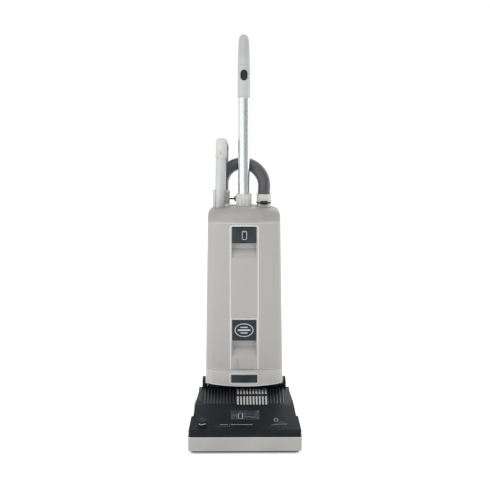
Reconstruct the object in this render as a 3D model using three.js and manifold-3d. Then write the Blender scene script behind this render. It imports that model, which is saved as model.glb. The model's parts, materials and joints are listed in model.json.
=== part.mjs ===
// Upright vacuum cleaner: a wide power head with a driven brush roller, and an upright body that
// reclines on it, with a bag compartment, an instant-use wand and hose, and an aluminium handle tube.
// Millimetres, +Z up, -Y is the front. Every piece is a closed solid in its own named mesh.
import * as THREE from "three";
import { mergeVertices } from "three/addons/utils/BufferGeometryUtils.js";
import Module from "manifold-3d";

const wasm = await Module();
wasm.setup();

// ---------------------------------------------------------------- driving dimensions
const GAP = 0.35; // between pieces that touch
const WALL = 3; // moulded wall
const RUNNING_GAP = 0.15; // radial, around a turning pin

// The head's side view: the long slope meets the vented slope at CREST.
const SLOPE = Math.atan2(38.5, 115);
const CREST = { y: -50, z: 107 };
const NOSE = { y: -165, z: 68.6 };
const VENT_RISE = 23 / 108;
const HEAD = {
  frontY: -180,
  rearY: 142,
  halfWidth: 165.8,
  bumperWall: 6.2,
  bumperLow: 9,
  bumperTop: 50.5,
  floorLow: 8,
  rimTop: 47,
  coverRearY: 66,
  plugX: 126, // the cover is solid outside this width behind the motor, under its lowered shoulders
};
const PIVOT = { y: 102, z: 95 }; // the body reclines about this line
const BARREL = { r: 40, bore: 34, halfLength: 112 };
const CHEEK = { inner: 119.6, horn: 128.5, outer: 140.5, hornR: 60 };
const BODY = {
  frontY: 33,
  partingY: 100,
  backY: 157,
  lowZ: 142,
  seamZ: 193.8,
  shoulderZ: 641,
  topZ: 688,
  crown: 6.5, // how far the top falls from its middle to a width of crownX
  crownX: 90,
  hemRise: 7, // how far the lower edge rises from its middle to the sides
  halfWidthLow: 118.5,
  halfWidthHigh: 109.5,
};
const ROLLER = { y: -130, z: 34, core: 20, bristle: 31, left: -124, right: 127 };
const BRUSH_MOTOR = { y: -18, z: 56, r: 34, left: -104, right: 16 };
const BELT = { left: -135.5, width: 7, thick: 2.4, rollerR: 18, motorR: 9 };
const REAR_WHEEL = { y: 104, r: 32, hubR: 26, left: 121.2, width: 15 };
const FRONT_WHEEL = { x: 108, y: -84, r: 11, width: 14, pinR: 2.5 };
const AXLE_R = 4;
const PIVOT_PIN_R = 10;
const MOUTH = { left: -131, right: 125, frontY: -158, rearY: -102 }; // the roller's opening in the sole
const DUCT = { left: 30, right: 92, low: 12, high: 46, frontY: -96, wall: 3 };
const INDICATOR = { left: -41, right: 44, half: 22.5, y: -96, seat: 1.2 };
const KNOB = { x: -124, y: -135, r: 14, height: 13, shaftLow: -9 };
const VENT = { columns: 10, left: -19.6, pitch: 9.45, width: 5.4, rearY: 61 };
const SHOULDER_Z = 121; // the head's lowered shoulders beside the pivot horns
const COVER_INSET = 1.2; // how far the cover stands inside the bumper's outline
const PEDAL = { y: 136, z: 78, pinR: 2.5 };
const SIDE_BUTTON = { y: -6, z: 97, length: 56, height: 20, proud: 5.2, turn: -4.7 }; // turned to the side

const LATCH = { halfWidth: 36.5, height: 49.5, scoop: 47, topGap: 1.3 };
const DOOR_HINGE = { y: 39, z: 200, r: 5.9 };
const TOP_LATCH_Z = 584.5; // lower edge of the upper latch
const LOW_LATCH = { z: 286, height: 62.5, scoop: 55 };
const WINDOW = { low: 154, high: 178, halfWidth: 39.5 };

const SUCTION = { x: 18, y: 103, r: 41 };
const WAND = {
  x: -71.2, // the width of its middle line at the height z
  z: 760,
  y: 136,
  lean: 0.0337,
  r: 16,
  wall: 2,
  low: 232,
  grip: 834,
  gripR: 17.4,
  domeZ: 881,
};
const AIRWAY_R = 13; // the air's way up the neck to the wand
const HOSE = {
  r: 19.2,
  sides: 12,
  archX: -2.2,
  archZ: 747,
  archR: 64,
  legY: 182,
  legLow: 520,
  bendR: 42,
  topR: 50,
};
const HOSE_LEG_X = HOSE.archX - HOSE.archR;
const CUFF = { x: 60.8, y: 136, r: 22.2, low: 693.6, top: 722 };
// Where the hose leaves the back of the wand's grip.
const OUTLET = { z: 860, r: 18.2, spigotR: 15.4, boreR: 12.6, endY: 198 };
const HOOK = { left: -47.5, stemR: 2.6, crossX: -26.6, y: 141, z: 706 };
const TUBE = { y: 132, r: 17.5, wall: 1.6, low: 640, high: 1018 };
const SOCKET = { r: 23, top: 722.5, ribs: 5 };
const SWITCH = { half: 10, low: 1066.5, high: 1097, frontY: 112.4, depth: 9.6 };
const GRIP_TOP = 1203;

const BACK_FACE = BODY.backY + 3.2 + GAP; // the back cover's outer face, with a gap
const CARRY = { reach: 32, r: 9, left: 0, right: 96, z: 600 };
const FRAME_Y = -(HEAD.frontY + BACK_FACE + CARRY.reach + CARRY.r) / 2; // centres the footprint on Y

// ---------------------------------------------------------------- materials
function plastic(color, roughness) {
  return new THREE.MeshStandardMaterial({ color, roughness, metalness: 0 });
}
const LIGHT_GREY = plastic(0xb8b6b1, 0.45);
const PALE_GREY = plastic(0xcfcdc8, 0.5);
const BLACK = plastic(0x1b1f24, 0.35);
const SLATE = plastic(0x333c43, 0.5);
const HOSE_GREY = plastic(0x3c3b44, 0.45);
const RUBBER = plastic(0x202224, 0.85);
const WHITE = plastic(0xe6e8ea, 0.8);
const FLEECE = plastic(0xd9d3c4, 0.95);
const BRISTLE = plastic(0x2b2d30, 0.8);
const ALUMINIUM = new THREE.MeshStandardMaterial({ color: 0xd8dadb, roughness: 0.3, metalness: 0.9 });
const STEEL = new THREE.MeshStandardMaterial({ color: 0xa9acaf, roughness: 0.35, metalness: 1 });

// ---------------------------------------------------------------- solids
/** A three.js geometry as a manifold solid, with its shared vertices merged. */
function solidOf(geometry) {
  const g = geometry.index ? geometry.toNonIndexed() : geometry.clone();
  for (const key of Object.keys(g.attributes)) if (key !== "position") g.deleteAttribute(key);
  const merged = mergeVertices(g, 1e-3);
  const index = merged.index.array;
  const kept = [];
  for (let i = 0; i < index.length; i += 3) {
    const [a, b, c] = [index[i], index[i + 1], index[i + 2]];
    if (a !== b && b !== c && c !== a) kept.push(a, b, c);
  }
  const vertProperties = merged.attributes.position.array;
  return new wasm.Manifold(new wasm.Mesh({ numProp: 3, vertProperties, triVerts: new Uint32Array(kept) }));
}

/** The vertices and triangles of a manifold solid as a three.js geometry. */
function geometryOf(solid) {
  const mesh = solid.getMesh();
  const geometry = new THREE.BufferGeometry();
  const stride = mesh.numProp;
  const count = mesh.vertProperties.length / stride;
  const position = new Float32Array(count * 3);
  for (let i = 0; i < count; i++)
    for (let k = 0; k < 3; k++) position[3 * i + k] = mesh.vertProperties[i * stride + k];
  geometry.setAttribute("position", new THREE.BufferAttribute(position, 3));
  geometry.setIndex(new THREE.BufferAttribute(new Uint32Array(mesh.triVerts), 1));
  const flat = geometry.toNonIndexed();
  flat.computeVertexNormals();
  return flat;
}

const join = (first, ...rest) => rest.reduce((sum, solid) => sum.add(solid), first);
const cut = (first, ...rest) => rest.reduce((left, solid) => left.subtract(solid), first);

/** Side-view points (y, z) as vectors. */
const sideShape = (points) => points.map(([y, z]) => new THREE.Vector2(y, z));

/** A box between two corners. */
function box(x0, x1, y0, y1, z0, z1) {
  const g = new THREE.BoxGeometry(x1 - x0, y1 - y0, z1 - z0);
  return solidOf(g.translate((x0 + x1) / 2, (y0 + y1) / 2, (z0 + z1) / 2));
}

/** A box between two widths on one side of the middle, where side is -1 on the left. */
function mirroredBox(side, near, far, ...rest) {
  return side < 0 ? box(-far, -near, ...rest) : box(near, far, ...rest);
}

/** A cylinder, or a cone, along X, Y or Z, from one end to the other. */
function rod(axis, r, from, to, a, b, sides = 16, rTo = r) {
  const g = new THREE.CylinderGeometry(rTo, r, to - from, sides);
  const middle = (from + to) / 2;
  if (axis === "x") return solidOf(g.rotateZ(-Math.PI / 2).translate(middle, a, b));
  if (axis === "y") return solidOf(g.translate(a, middle, b));
  return solidOf(g.rotateX(Math.PI / 2).translate(a, b, middle));
}

/** A tube: a rod with a bore right through it. */
function pipe(axis, r, bore, from, to, a, b, sides = 20) {
  return cut(rod(axis, r, from, to, a, b, sides), rod(axis, bore, from - 1, to + 1, a, b, sides));
}

/** Turns corners into a polygon, where a corner [x, y, radius] is rounded by an arc. */
function rounded(corners, steps = 3) {
  const out = [];
  corners.forEach(([x, y, radius = 0], i) => {
    const corner = new THREE.Vector2(x, y);
    if (!radius) return out.push(corner);
    const n = corners.length;
    const before = new THREE.Vector2(...corners[(i + n - 1) % n]).sub(corner).normalize();
    const after = new THREE.Vector2(...corners[(i + 1) % n]).sub(corner).normalize();
    const half = Math.acos(THREE.MathUtils.clamp(before.dot(after), -1, 1)) / 2;
    const reach = radius / Math.tan(half);
    const inwards = before.clone().add(after).normalize();
    const middle = inwards.multiplyScalar(radius / Math.sin(half)).add(corner);
    const from = before.multiplyScalar(reach).add(corner).sub(middle);
    const to = after.multiplyScalar(reach).add(corner).sub(middle);
    let sweep = to.angle() - from.angle();
    if (sweep > Math.PI) sweep -= 2 * Math.PI;
    if (sweep < -Math.PI) sweep += 2 * Math.PI;
    for (let k = 0; k <= steps; k++) {
      const turn = from.angle() + (sweep * k) / steps;
      out.push(new THREE.Vector2(middle.x + radius * Math.cos(turn), middle.y + radius * Math.sin(turn)));
    }
  });
  return out;
}

/** A plan outline (x, y) raised from z0 to z1. */
function upright(points, z0, z1) {
  const g = new THREE.ExtrudeGeometry(new THREE.Shape(points), { depth: z1 - z0, bevelEnabled: false });
  return solidOf(g.translate(0, 0, z0));
}

/** A side outline (y, z) stretched from x0 to x1. */
function across(points, x0, x1) {
  const g = new THREE.ExtrudeGeometry(new THREE.Shape(points), { depth: x1 - x0, bevelEnabled: false });
  g.applyMatrix4(new THREE.Matrix4().set(0, 0, 1, x0, 1, 0, 0, 0, 0, 1, 0, 0, 0, 0, 0, 1));
  return solidOf(g);
}

/** A solid through rings of points that run the same way round, closed at both ends. */
function loft(rings) {
  const n = rings[0].length;
  const points = rings.flat();
  const faces = [];
  for (let r = 0; r + 1 < rings.length; r++)
    for (let i = 0; i < n; i++) {
      const [a, b] = [r * n + i, r * n + ((i + 1) % n)];
      faces.push(a, b, b + n, a, b + n, a + n);
    }
  for (const [ring, flip] of [[0, true], [rings.length - 1, false]]) {
    const middle = rings[ring].reduce((sum, p) => sum.add(p), new THREE.Vector3()).divideScalar(n);
    points.push(middle);
    for (let i = 0; i < n; i++) {
      const [a, b] = [ring * n + i, ring * n + ((i + 1) % n)];
      faces.push(...(flip ? [b, a, points.length - 1] : [a, b, points.length - 1]));
    }
  }
  const g = new THREE.BufferGeometry().setFromPoints(points);
  g.setIndex(faces);
  return solidOf(g);
}

/** A round solid turned about Z from a profile of [radius, z] that closes on itself. */
function turned(profile, segments = 28) {
  const g = new THREE.LatheGeometry(profile.map(([r, z]) => new THREE.Vector2(r, z)), segments);
  return solidOf(g.rotateX(Math.PI / 2));
}

/** Moves a solid. */
const moved = (solid, x, y, z) => solid.translate([x, y, z]);

/** A named mesh of one material. */
function piece(group, name, solid, material) {
  const mesh = new THREE.Mesh(geometryOf(solid), material);
  mesh.name = name;
  group.add(mesh);
  return mesh;
}

// ---------------------------------------------------------------- power head
/** The cover's height above the floor at a depth on the long front slope. */
const slopeZ = (y) => NOSE.z + Math.tan(SLOPE) * (y - NOSE.y);
/** The same on the vented slope behind it. */
const ventZ = (y) => CREST.z + VENT_RISE * (y - CREST.y);

/** The head's plan outline, drawn inwards by an inset. */
function headPlan(inset, frontY, rearY) {
  const right = [
    [HEAD.halfWidth - inset, frontY, 10],
    [158.8 - inset, -102],
    [153 - inset, -98],
    [140.5 - inset, 60],
    [140.5 - inset, rearY, 6],
  ];
  const left = right.map(([x, y, r]) => [-x, y, r]).reverse();
  return rounded([...right, ...left], 3);
}

/** The space under the cover's top, between two depths, lowered by an inset. */
function underTop(inset, y0, y1, z0) {
  const points = [
    [y0, z0],
    [y1, z0],
    [y1, ventZ(y1) - inset],
    [CREST.y, CREST.z - inset],
    [NOSE.y + inset / 2, NOSE.z - inset, 5],
    [y0, 62 - inset, 3],
  ];
  return across(rounded(points, 3), -200, 200);
}

/** The roller's opening, larger by a margin, from the floor up to a height. */
function rollerMouth(margin, high) {
  const { left, right, frontY, rearY } = MOUTH;
  return box(left - margin, right + margin, frontY - margin, rearY + margin, 0, high);
}

/** The bay that a front wheel stands in; side is -1 on the left. */
function frontWheelBay(side, high) {
  const x = side * FRONT_WHEEL.x;
  return box(x - 9, x + 9, FRONT_WHEEL.y - 13.5, FRONT_WHEEL.y + 14, 0, high);
}

function headBase() {
  const skin = HEAD.bumperWall;
  const outer = upright(headPlan(skin, HEAD.frontY + skin, HEAD.rearY), HEAD.floorLow, HEAD.rimTop);
  const inner = upright(headPlan(skin + WALL, HEAD.frontY + skin + WALL, 60), HEAD.floorLow + WALL, 60);
  const wellSide = CHEEK.inner - 4;
  const rearWell = box(-wellSide, wellSide, 63, HEAD.rearY - WALL, HEAD.floorLow + WALL, 60);
  const ductPassage = box(DUCT.left - GAP, DUCT.right + GAP, 58, 65, DUCT.low - GAP, 60);
  let base = cut(outer, inner, rearWell, rollerMouth(WALL, 20), ductPassage);
  const axleReach = CHEEK.inner + 30;
  const bore = rod("x", AXLE_R + GAP, -axleReach, axleReach, REAR_WHEEL.y, REAR_WHEEL.r, 12);
  for (const side of [-1, 1]) {
    const wheelX = side * (REAR_WHEEL.left + REAR_WHEEL.width / 2);
    const bay = box(wheelX - 9.5, wheelX + 9.5, REAR_WHEEL.y - 35, HEAD.rearY + 5, 0, 70);
    const x = side * FRONT_WHEEL.x;
    const pin = rod("x", FRONT_WHEEL.pinR, x - 11, x + 11, FRONT_WHEEL.y, FRONT_WHEEL.r, 12);
    base = join(cut(base, bay, frontWheelBay(side, 26), bore), pin);
  }
  return base;
}

function solePlate() {
  const low = 3;
  const top = HEAD.floorLow - GAP;
  const sheet = upright(headPlan(HEAD.bumperWall + 1.3, HEAD.frontY + 7, 60), low, top);
  const plate = cut(sheet, rollerMouth(0, 20), frontWheelBay(-1, 20), frontWheelBay(1, 20));
  const bristleRoom = rod("x", ROLLER.bristle + 0.4, -140, 140, ROLLER.y, ROLLER.z, 40);
  const guards = [-66, 0, 66].map((x) => {
    const guard = box(x - 1.5, x + 1.5, MOUTH.frontY - 1, MOUTH.rearY + 1, low, low + 2);
    return cut(guard, bristleRoom);
  });
  return join(plate, ...guards);
}

function frontBumper() {
  const skin = HEAD.bumperWall - GAP;
  const outer = upright(headPlan(0, HEAD.frontY, 60), HEAD.bumperLow, HEAD.bumperTop);
  const inner = upright(headPlan(skin, HEAD.frontY + skin, 70), 0, 60);
  const behind = box(-200, 200, -104, 200, 0, 80);
  return cut(outer, inner, behind);
}

function headCover() {
  const low = HEAD.rimTop + GAP;
  const front = HEAD.frontY + 1.6;
  const rear = HEAD.coverRearY;
  const plan = upright(headPlan(COVER_INSET, front, rear), low, 140);
  const planInside = upright(headPlan(COVER_INSET + WALL, front + WALL, rear - WALL), low - 1, 140);
  const hollow = planInside.intersect(underTop(WALL, HEAD.frontY, rear + 5, low - 1));
  const plugs = [-1, 1].map((side) => mirroredBox(side, HEAD.plugX, 170, -20, 80, 105, 150));
  let cover = cut(plan.intersect(underTop(0, front, rear, low)), cut(hollow, ...plugs));
  const lowered = sideShape([[-20, ventZ(-20)], [70, SHOULDER_Z], [70, 150], [-20, 150]]);
  cover = cut(cover, across(lowered, CHEEK.horn + 0.8, 170), across(lowered, -170, -CHEEK.horn - 0.8));
  cover = cut(cover, rod("x", BARREL.r + 1.6, -CHEEK.inner, CHEEK.inner, PIVOT.y, PIVOT.z, 48));
  // The bumper's upper edge and the base's rim fit under the cover's skirt.
  const skirt = upright(headPlan(-5, HEAD.frontY - 5, -103.6), 30, HEAD.bumperTop + GAP);
  cover = cut(cover, skirt);
  // The vent slots, in two rows, and the blind grooves that carry on the pattern at both sides.
  const rows = [
    [-44, 14],
    [20, VENT.rearY],
  ];
  for (let i = 0; i < VENT.columns; i++) {
    const x = VENT.left + i * VENT.pitch;
    for (const [y0, y1] of rows) {
      const half = VENT.width / 2;
      cover = cut(cover, box(x - half, x + half, y0, y1, 112 + VENT_RISE * (y0 - 14), 140));
    }
  }
  const grooves = [];
  for (let x = VENT.left - VENT.pitch; x > -122; x -= VENT.pitch) grooves.push(x);
  for (let x = VENT.left + VENT.columns * VENT.pitch; x < 122; x += VENT.pitch) grooves.push(x);
  const grooveSide = sideShape([
    [-44, ventZ(-44) - 0.1],
    [-38, ventZ(-38) - 1.6],
    [VENT.rearY, ventZ(VENT.rearY) - 1.6],
    [VENT.rearY, 150],
    [-44, 150],
  ]);
  for (const x of grooves) cover = cut(cover, across(grooveSide, x - 2.7, x + 2.7));
  // A seat for the indicator window, a hole for the knob's shaft, and a pocket for the side button.
  const { left, right, half, seat, y: windowY } = INDICATOR;
  const seatBox = box(left - 0.5, right + 0.5, -half - 0.5, half + 0.5, -seat, 5);
  cover = cut(cover, onSlope(seatBox, 0, windowY));
  cover = cut(cover, onSlope(rod("z", 5.4, -20, 20, 0, 0, 16), KNOB.x, KNOB.y));
  cover = cut(cover, onSlope(rod("z", KNOB.r + 1.4, -1, 20, 0, 0, 28), KNOB.x, KNOB.y));
  return cut(cover, sideButtonBlock(1, 12));
}

/** Places a solid, made flat at the origin, on the cover's long slope. */
function onSlope(solid, x, y) {
  return moved(solid.rotate([THREE.MathUtils.radToDeg(SLOPE), 0, 0]), x, y, slopeZ(y));
}

/** The side release button's block, larger by a clearance. */
function sideButtonBlock(clearance, deeper = 0) {
  const { length, height, proud } = SIDE_BUTTON;
  const half = height / 2 + clearance;
  const outline = rounded(
    [
      [-length / 2 - clearance, -half, 7],
      [length / 2 + clearance, -half, 7],
      [length / 2 + clearance, half, 7],
      [-length / 2 - clearance, half, 7],
    ],
    3,
  );
  const block = across(outline, -proud, 3.4 + deeper);
  const wallX = COVER_INSET - 152.5 + (12 * (SIDE_BUTTON.y + 86)) / 146; // the cover's flared side
  return moved(block.rotate([0, 0, SIDE_BUTTON.turn]), wallX, SIDE_BUTTON.y, SIDE_BUTTON.z);
}

function ventFilter() {
  const low = (y) => ventZ(y) - WALL - 3;
  const high = (y) => ventZ(y) - WALL - GAP;
  const side = sideShape([
    [-46, low(-46)],
    [VENT.rearY, low(VENT.rearY)],
    [VENT.rearY, high(VENT.rearY)],
    [-46, high(-46)],
  ]);
  return across(side, VENT.left - 8, VENT.left + (VENT.columns - 1) * VENT.pitch + 8);
}

function heightKnob() {
  const disc = rod("z", KNOB.r, -0.6, KNOB.height, 0, 0, 32, KNOB.r - 1.5);
  const bar = box(-3, 3, -KNOB.r + 3, KNOB.r - 3, KNOB.height - 1, KNOB.height + 2);
  const shaft = rod("z", 4.8, KNOB.shaftLow, 0, 0, 0, 12);
  const cam = rod("z", 4.8, KNOB.shaftLow, -5, 0, 0, 12);
  return onSlope(join(disc, bar, shaft, moved(cam, 3, 0, 0)), KNOB.x, KNOB.y);
}

/** A wheel cheek with the pivot horn that holds the body; side is -1 on the left. */
function cheek(side) {
  const low = HEAD.rimTop + GAP;
  const y0 = HEAD.coverRearY + GAP;
  const shoulder = rounded(
    [
      [y0, low],
      [HEAD.rearY - 1, low],
      [HEAD.rearY - 1, 92, 18],
      [112, SHOULDER_Z, 20],
      [y0, SHOULDER_Z - 0.4],
    ],
    4,
  );
  const horn = new THREE.Shape();
  horn.moveTo(PIVOT.y - 45, low + 20);
  horn.lineTo(PIVOT.y + 33, low + 20);
  horn.absarc(PIVOT.y, PIVOT.z, CHEEK.hornR, 0.15, Math.PI - 0.75, false);
  const body = across(shoulder, CHEEK.inner, CHEEK.outer - 1);
  const ear = across(horn.getPoints(14), CHEEK.inner, CHEEK.horn);
  const hollow = box(CHEEK.inner - 1, CHEEK.outer - 1 - 2.2, REAR_WHEEL.y - 34.5, HEAD.rearY + 5, 0, 67);
  const pinBore = PIVOT_PIN_R + RUNNING_GAP;
  const pinSeat = rod("x", pinBore, BARREL.halfLength, CHEEK.horn - 2, PIVOT.y, PIVOT.z, 32);
  const ahead = box(CHEEK.inner - 5, CHEEK.outer + 5, 0, y0, 0, 200);
  const hub = rod("x", BARREL.r - 1, BARREL.halfLength + 1.2, CHEEK.inner + 1, PIVOT.y, PIVOT.z, 40);
  const overWheel = cut(hub, box(100, 130, 0, 200, 0, 84));
  const made = cut(join(body, ear, overWheel), hollow, pinSeat, ahead);
  return side < 0 ? made.mirror([1, 0, 0]) : made;
}

function suctionDuct() {
  const { left, right, low, high, frontY, wall: thick } = DUCT;
  const inLow = low + thick;
  const inHigh = high - thick;
  const outer = box(left, right, frontY, 70, low, high);
  const inner = box(left + thick, right - thick, frontY - 4, 80, inLow, inHigh);
  const riseSide = sideShape([[30, low], [66, low], [66, 90], [40, 78], [20, high]]);
  const insideSide = sideShape([[33, inLow], [80, inLow], [80, 84], [42, 74], [24, inHigh]]);
  const rise = across(riseSide, left, right);
  const riseInside = across(insideSide, left + thick, right - thick);
  const saddle = rod("x", BARREL.r + 1, -120, 120, PIVOT.y, PIVOT.z, 48);
  const wall = box(20, 100, HEAD.coverRearY - WALL - 0.6, 80, HEAD.rimTop - 1, 140);
  return cut(join(outer, rise), inner, riseInside, saddle, wall);
}

// The brush roller's helical bristle rows.
function bristles() {
  const rows = [];
  const turns = 0.75;
  const steps = 9;
  for (let k = 0; k < 4; k++) {
    const rings = [];
    for (let i = 0; i <= steps; i++) {
      const x = ROLLER.left + 4 + ((ROLLER.right - ROLLER.left - 8) * i) / steps;
      const turn = (k * Math.PI) / 2 + (i / steps) * turns * 2 * Math.PI;
      const corner = (r, side) => {
        const a = turn + side / r;
        return new THREE.Vector3(x, ROLLER.y + r * Math.cos(a), ROLLER.z + r * Math.sin(a));
      };
      const low = ROLLER.core + 1;
      const high = ROLLER.bristle;
      rings.push([corner(low, -2.4), corner(high, -2.4), corner(high, 2.4), corner(low, 2.4)]);
    }
    rows.push(loft(rings));
  }
  const { core, left, right, y, z } = ROLLER;
  return join(pipe("x", core + 1.6, core + GAP, left + 2, right - 2, y, z, 20), ...rows);
}

function driveBelt() {
  const { left, width, thick } = BELT;
  const gap = 2 * GAP;
  const from = new THREE.Vector2(ROLLER.y, ROLLER.z);
  const to = new THREE.Vector2(BRUSH_MOTOR.y, BRUSH_MOTOR.z);
  const line = to.clone().sub(from);
  const spread = Math.acos((BELT.rollerR - BELT.motorR) / line.length());
  const loop = (more) => {
    const shape = [];
    const far = [
      [from, BELT.rollerR + more, line.angle() + spread, line.angle() + 2 * Math.PI - spread],
      [to, BELT.motorR + more, line.angle() - spread, line.angle() + spread],
    ];
    for (const [centre, r, a0, a1] of far)
      for (let k = 0; k <= 8; k++) {
        const a = a0 + ((a1 - a0) * k) / 8;
        shape.push(new THREE.Vector2(centre.x + r * Math.cos(a), centre.y + r * Math.sin(a)));
      }
    return shape;
  };
  return cut(across(loop(gap + thick), left, left + width), across(loop(gap), left - 1, left + width + 1));
}

function rearWheel(side) {
  const x0 = side < 0 ? -REAR_WHEEL.left - REAR_WHEEL.width : REAR_WHEEL.left;
  const x1 = x0 + REAR_WHEEL.width;
  const { y, r, hubR } = REAR_WHEEL;
  const boreR = AXLE_R + RUNNING_GAP;
  const hub = rod("x", hubR, x0 + 1, x1 - 1, y, r, 28);
  const dish = rod("x", hubR - 7, side < 0 ? x0 : x1 - 4, side < 0 ? x0 + 4 : x1, y, r, 24);
  const bore = rod("x", boreR, x0 - 1, x1 + 1, y, r, 16);
  return join(cut(hub, dish, bore), pipe("x", 8, boreR, x0 + 1, x1 - 1, y, r, 16));
}

function rearTyre(side) {
  const x0 = side < 0 ? -REAR_WHEEL.left - REAR_WHEEL.width : REAR_WHEEL.left;
  const half = REAR_WHEEL.width / 2;
  const innerR = REAR_WHEEL.hubR + GAP;
  const ring = turned(
    [
      [innerR, -half],
      [REAR_WHEEL.r - 1.6, -half],
      [REAR_WHEEL.r, -half + 1.8],
      [REAR_WHEEL.r, half - 1.8],
      [REAR_WHEEL.r - 1.6, half],
      [innerR, half],
      [innerR, -half],
    ],
    36,
  );
  return moved(ring.rotate([0, 90, 0]), x0 + half, REAR_WHEEL.y, REAR_WHEEL.r);
}

function footPedal() {
  const tread = rounded(
    [
      [139, 76],
      [139, 70],
      [182, 58, 3],
      [188, 61, 2],
      [186, 66, 3],
      [150, 79, 4],
    ],
    3,
  );
  const arm = rounded([[131, 68], [142, 66], [142, 79], [131, 84]], 1);
  const pin = rod("x", PEDAL.pinR, 120.4, 139, PEDAL.y, PEDAL.z, 12);
  return join(across(tread, 122.6, 136.2), across(arm, 123, 135.6), pin).mirror([1, 0, 0]);
}

function powerHead() {
  const head = new THREE.Group();
  const pedalRoom = box(-137, -122, 126, 150, 64, 92);
  const pedalSeat = rod("x", PEDAL.pinR + RUNNING_GAP, -142, -119, PEDAL.y, PEDAL.z, 12);
  piece(head, "head_base", headBase(), BLACK);
  piece(head, "sole_plate", solePlate(), SLATE);
  piece(head, "front_bumper", frontBumper(), LIGHT_GREY);
  piece(head, "head_cover", headCover(), BLACK);
  piece(head, "vent_filter", ventFilter(), WHITE);
  const { left: paneLeft, right: paneRight, half, seat: paneSeat, y: paneY } = INDICATOR;
  const pane = box(paneLeft, paneRight, -half, half, -paneSeat + GAP, 0.6);
  piece(head, "indicator_window", onSlope(pane, 0, paneY), SLATE);
  piece(head, "height_knob", heightKnob(), BLACK);
  piece(head, "roller_release_button", sideButtonBlock(0), PALE_GREY);
  piece(head, "cheek_left", cut(cheek(-1), pedalRoom, pedalSeat), BLACK);
  piece(head, "cheek_right", cheek(1), BLACK);
  piece(head, "suction_duct", suctionDuct(), SLATE);

  const shaft = rod("x", 5, ROLLER.left - 22, ROLLER.right + 12, ROLLER.y, ROLLER.z);
  const core = rod("x", ROLLER.core, ROLLER.left, ROLLER.right, ROLLER.y, ROLLER.z, 24);
  const wheelFace = [BELT.left + GAP, BELT.left + BELT.width - GAP];
  const rollerPulley = rod("x", BELT.rollerR, ...wheelFace, ROLLER.y, ROLLER.z, 36);
  piece(head, "brush_roller", join(core, shaft, rollerPulley), SLATE);
  piece(head, "brush_bristles", bristles(), BRISTLE);
  piece(head, "drive_belt", driveBelt(), RUBBER);
  const { y, z, r, left, right } = BRUSH_MOTOR;
  const motorBore = rod("x", 4.6, left - 1, left + 30, y, z, 16);
  piece(head, "brush_motor", cut(rod("x", r, left, right, y, z, 28), motorBore), STEEL);
  const motorPulley = rod("x", BELT.motorR, ...wheelFace, y, z, 28);
  piece(head, "motor_pulley", join(motorPulley, rod("x", 4, BELT.left, left + 28, y, z, 16)), STEEL);
  const carrierPlate = box(129, 141, -160, -100, 12, 44);
  const carrierFoot = box(132, 156, -160, -136, 3.2, 7.4);
  const carrierNeck = box(132, 141, -158, -138, 7, 14);
  const carrier = join(carrierPlate, carrierFoot, carrierNeck);
  const seat = rod("x", 5 + RUNNING_GAP, -160, 140, ROLLER.y, ROLLER.z);
  piece(head, "roller_bearing_left", cut(box(-149, -139.5, -146, -114, 11 + GAP, 46), seat), PALE_GREY);
  const carrierRoom = box(131, 160, -161, -135, 0, 12);
  piece(head, "roller_end_carrier", cut(carrier, seat), PALE_GREY);
  for (const name of ["sole_plate", "head_base", "front_bumper"]) {
    const mesh = head.getObjectByName(name);
    mesh.geometry = geometryOf(cut(solidOf(mesh.geometry), carrierRoom));
  }

  for (const [side, word] of [[-1, "left"], [1, "right"]]) {
    piece(head, `rear_wheel_${word}`, rearWheel(side), SLATE);
    piece(head, `rear_tyre_${word}`, rearTyre(side), RUBBER);
    const { x: frontX, y: frontY, r: frontR, width, pinR } = FRONT_WHEEL;
    const [x0, x1] = [side * frontX - width / 2, side * frontX + width / 2];
    const wheel = pipe("x", frontR, pinR + RUNNING_GAP, x0, x1, frontY, frontR, 28);
    piece(head, `front_wheel_${word}`, wheel, PALE_GREY);
  }
  const axleEnd = CHEEK.outer - 4.6;
  piece(head, "rear_axle", rod("x", AXLE_R, -axleEnd, axleEnd, REAR_WHEEL.y, REAR_WHEEL.r, 16), STEEL);
  piece(head, "foot_pedal", footPedal(), BLACK);
  return head;
}

// ---------------------------------------------------------------- upright body
/** The body's half width at a height. */
const halfWidth = (z) =>
  THREE.MathUtils.mapLinear(z, BODY.lowZ, BODY.shoulderZ, BODY.halfWidthLow, BODY.halfWidthHigh);

/** One level of the body: a bowed front with round corners, straight sides and a flat back. */
function bodyRing(z, inset) {
  const top = BODY.topZ - inset;
  const rise = THREE.MathUtils.clamp((z - BODY.shoulderZ) / (top - BODY.shoulderZ), 0, 1);
  const roll = 1 - Math.sqrt(1 - rise * rise);
  const side = THREE.MathUtils.clamp((z - (top - 22)) / 22, 0, 1);
  const half = halfWidth(Math.min(z, BODY.shoulderZ)) - inset - 20 * (1 - Math.sqrt(1 - side * side));
  const front = BODY.frontY + inset + 46 * roll;
  const bow = 11 * (1 - 0.6 * roll);
  const corner = 24 - inset;
  const points = [];
  const bowPoints = 10;
  for (let i = 0; i <= bowPoints; i++) {
    const t = -1 + (2 * i) / bowPoints;
    const x = t * (half - corner * 0.82);
    points.push(new THREE.Vector3(x, front + bow * t * t, z));
  }
  // A round corner at each end of the bow, the same on both sides.
  const turn = [];
  for (let k = 1; k <= 5; k++) {
    const a = -1.15 + (1.15 * k) / 5;
    turn.push([half - corner + corner * Math.cos(a), front + bow + corner * (1.05 + Math.sin(a))]);
  }
  for (const [x, y] of turn) points.push(new THREE.Vector3(x, y, z));
  const back = BODY.backY;
  points.push(new THREE.Vector3(half, back - 8, z));
  for (let i = 0; i <= bowPoints; i++) {
    points.push(new THREE.Vector3((half - 8) * (1 - (2 * i) / bowPoints), back, z));
  }
  points.push(new THREE.Vector3(-half, back - 8, z));
  for (const [x, y] of turn.reverse()) points.push(new THREE.Vector3(-x, y, z));
  return points;
}

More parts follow.
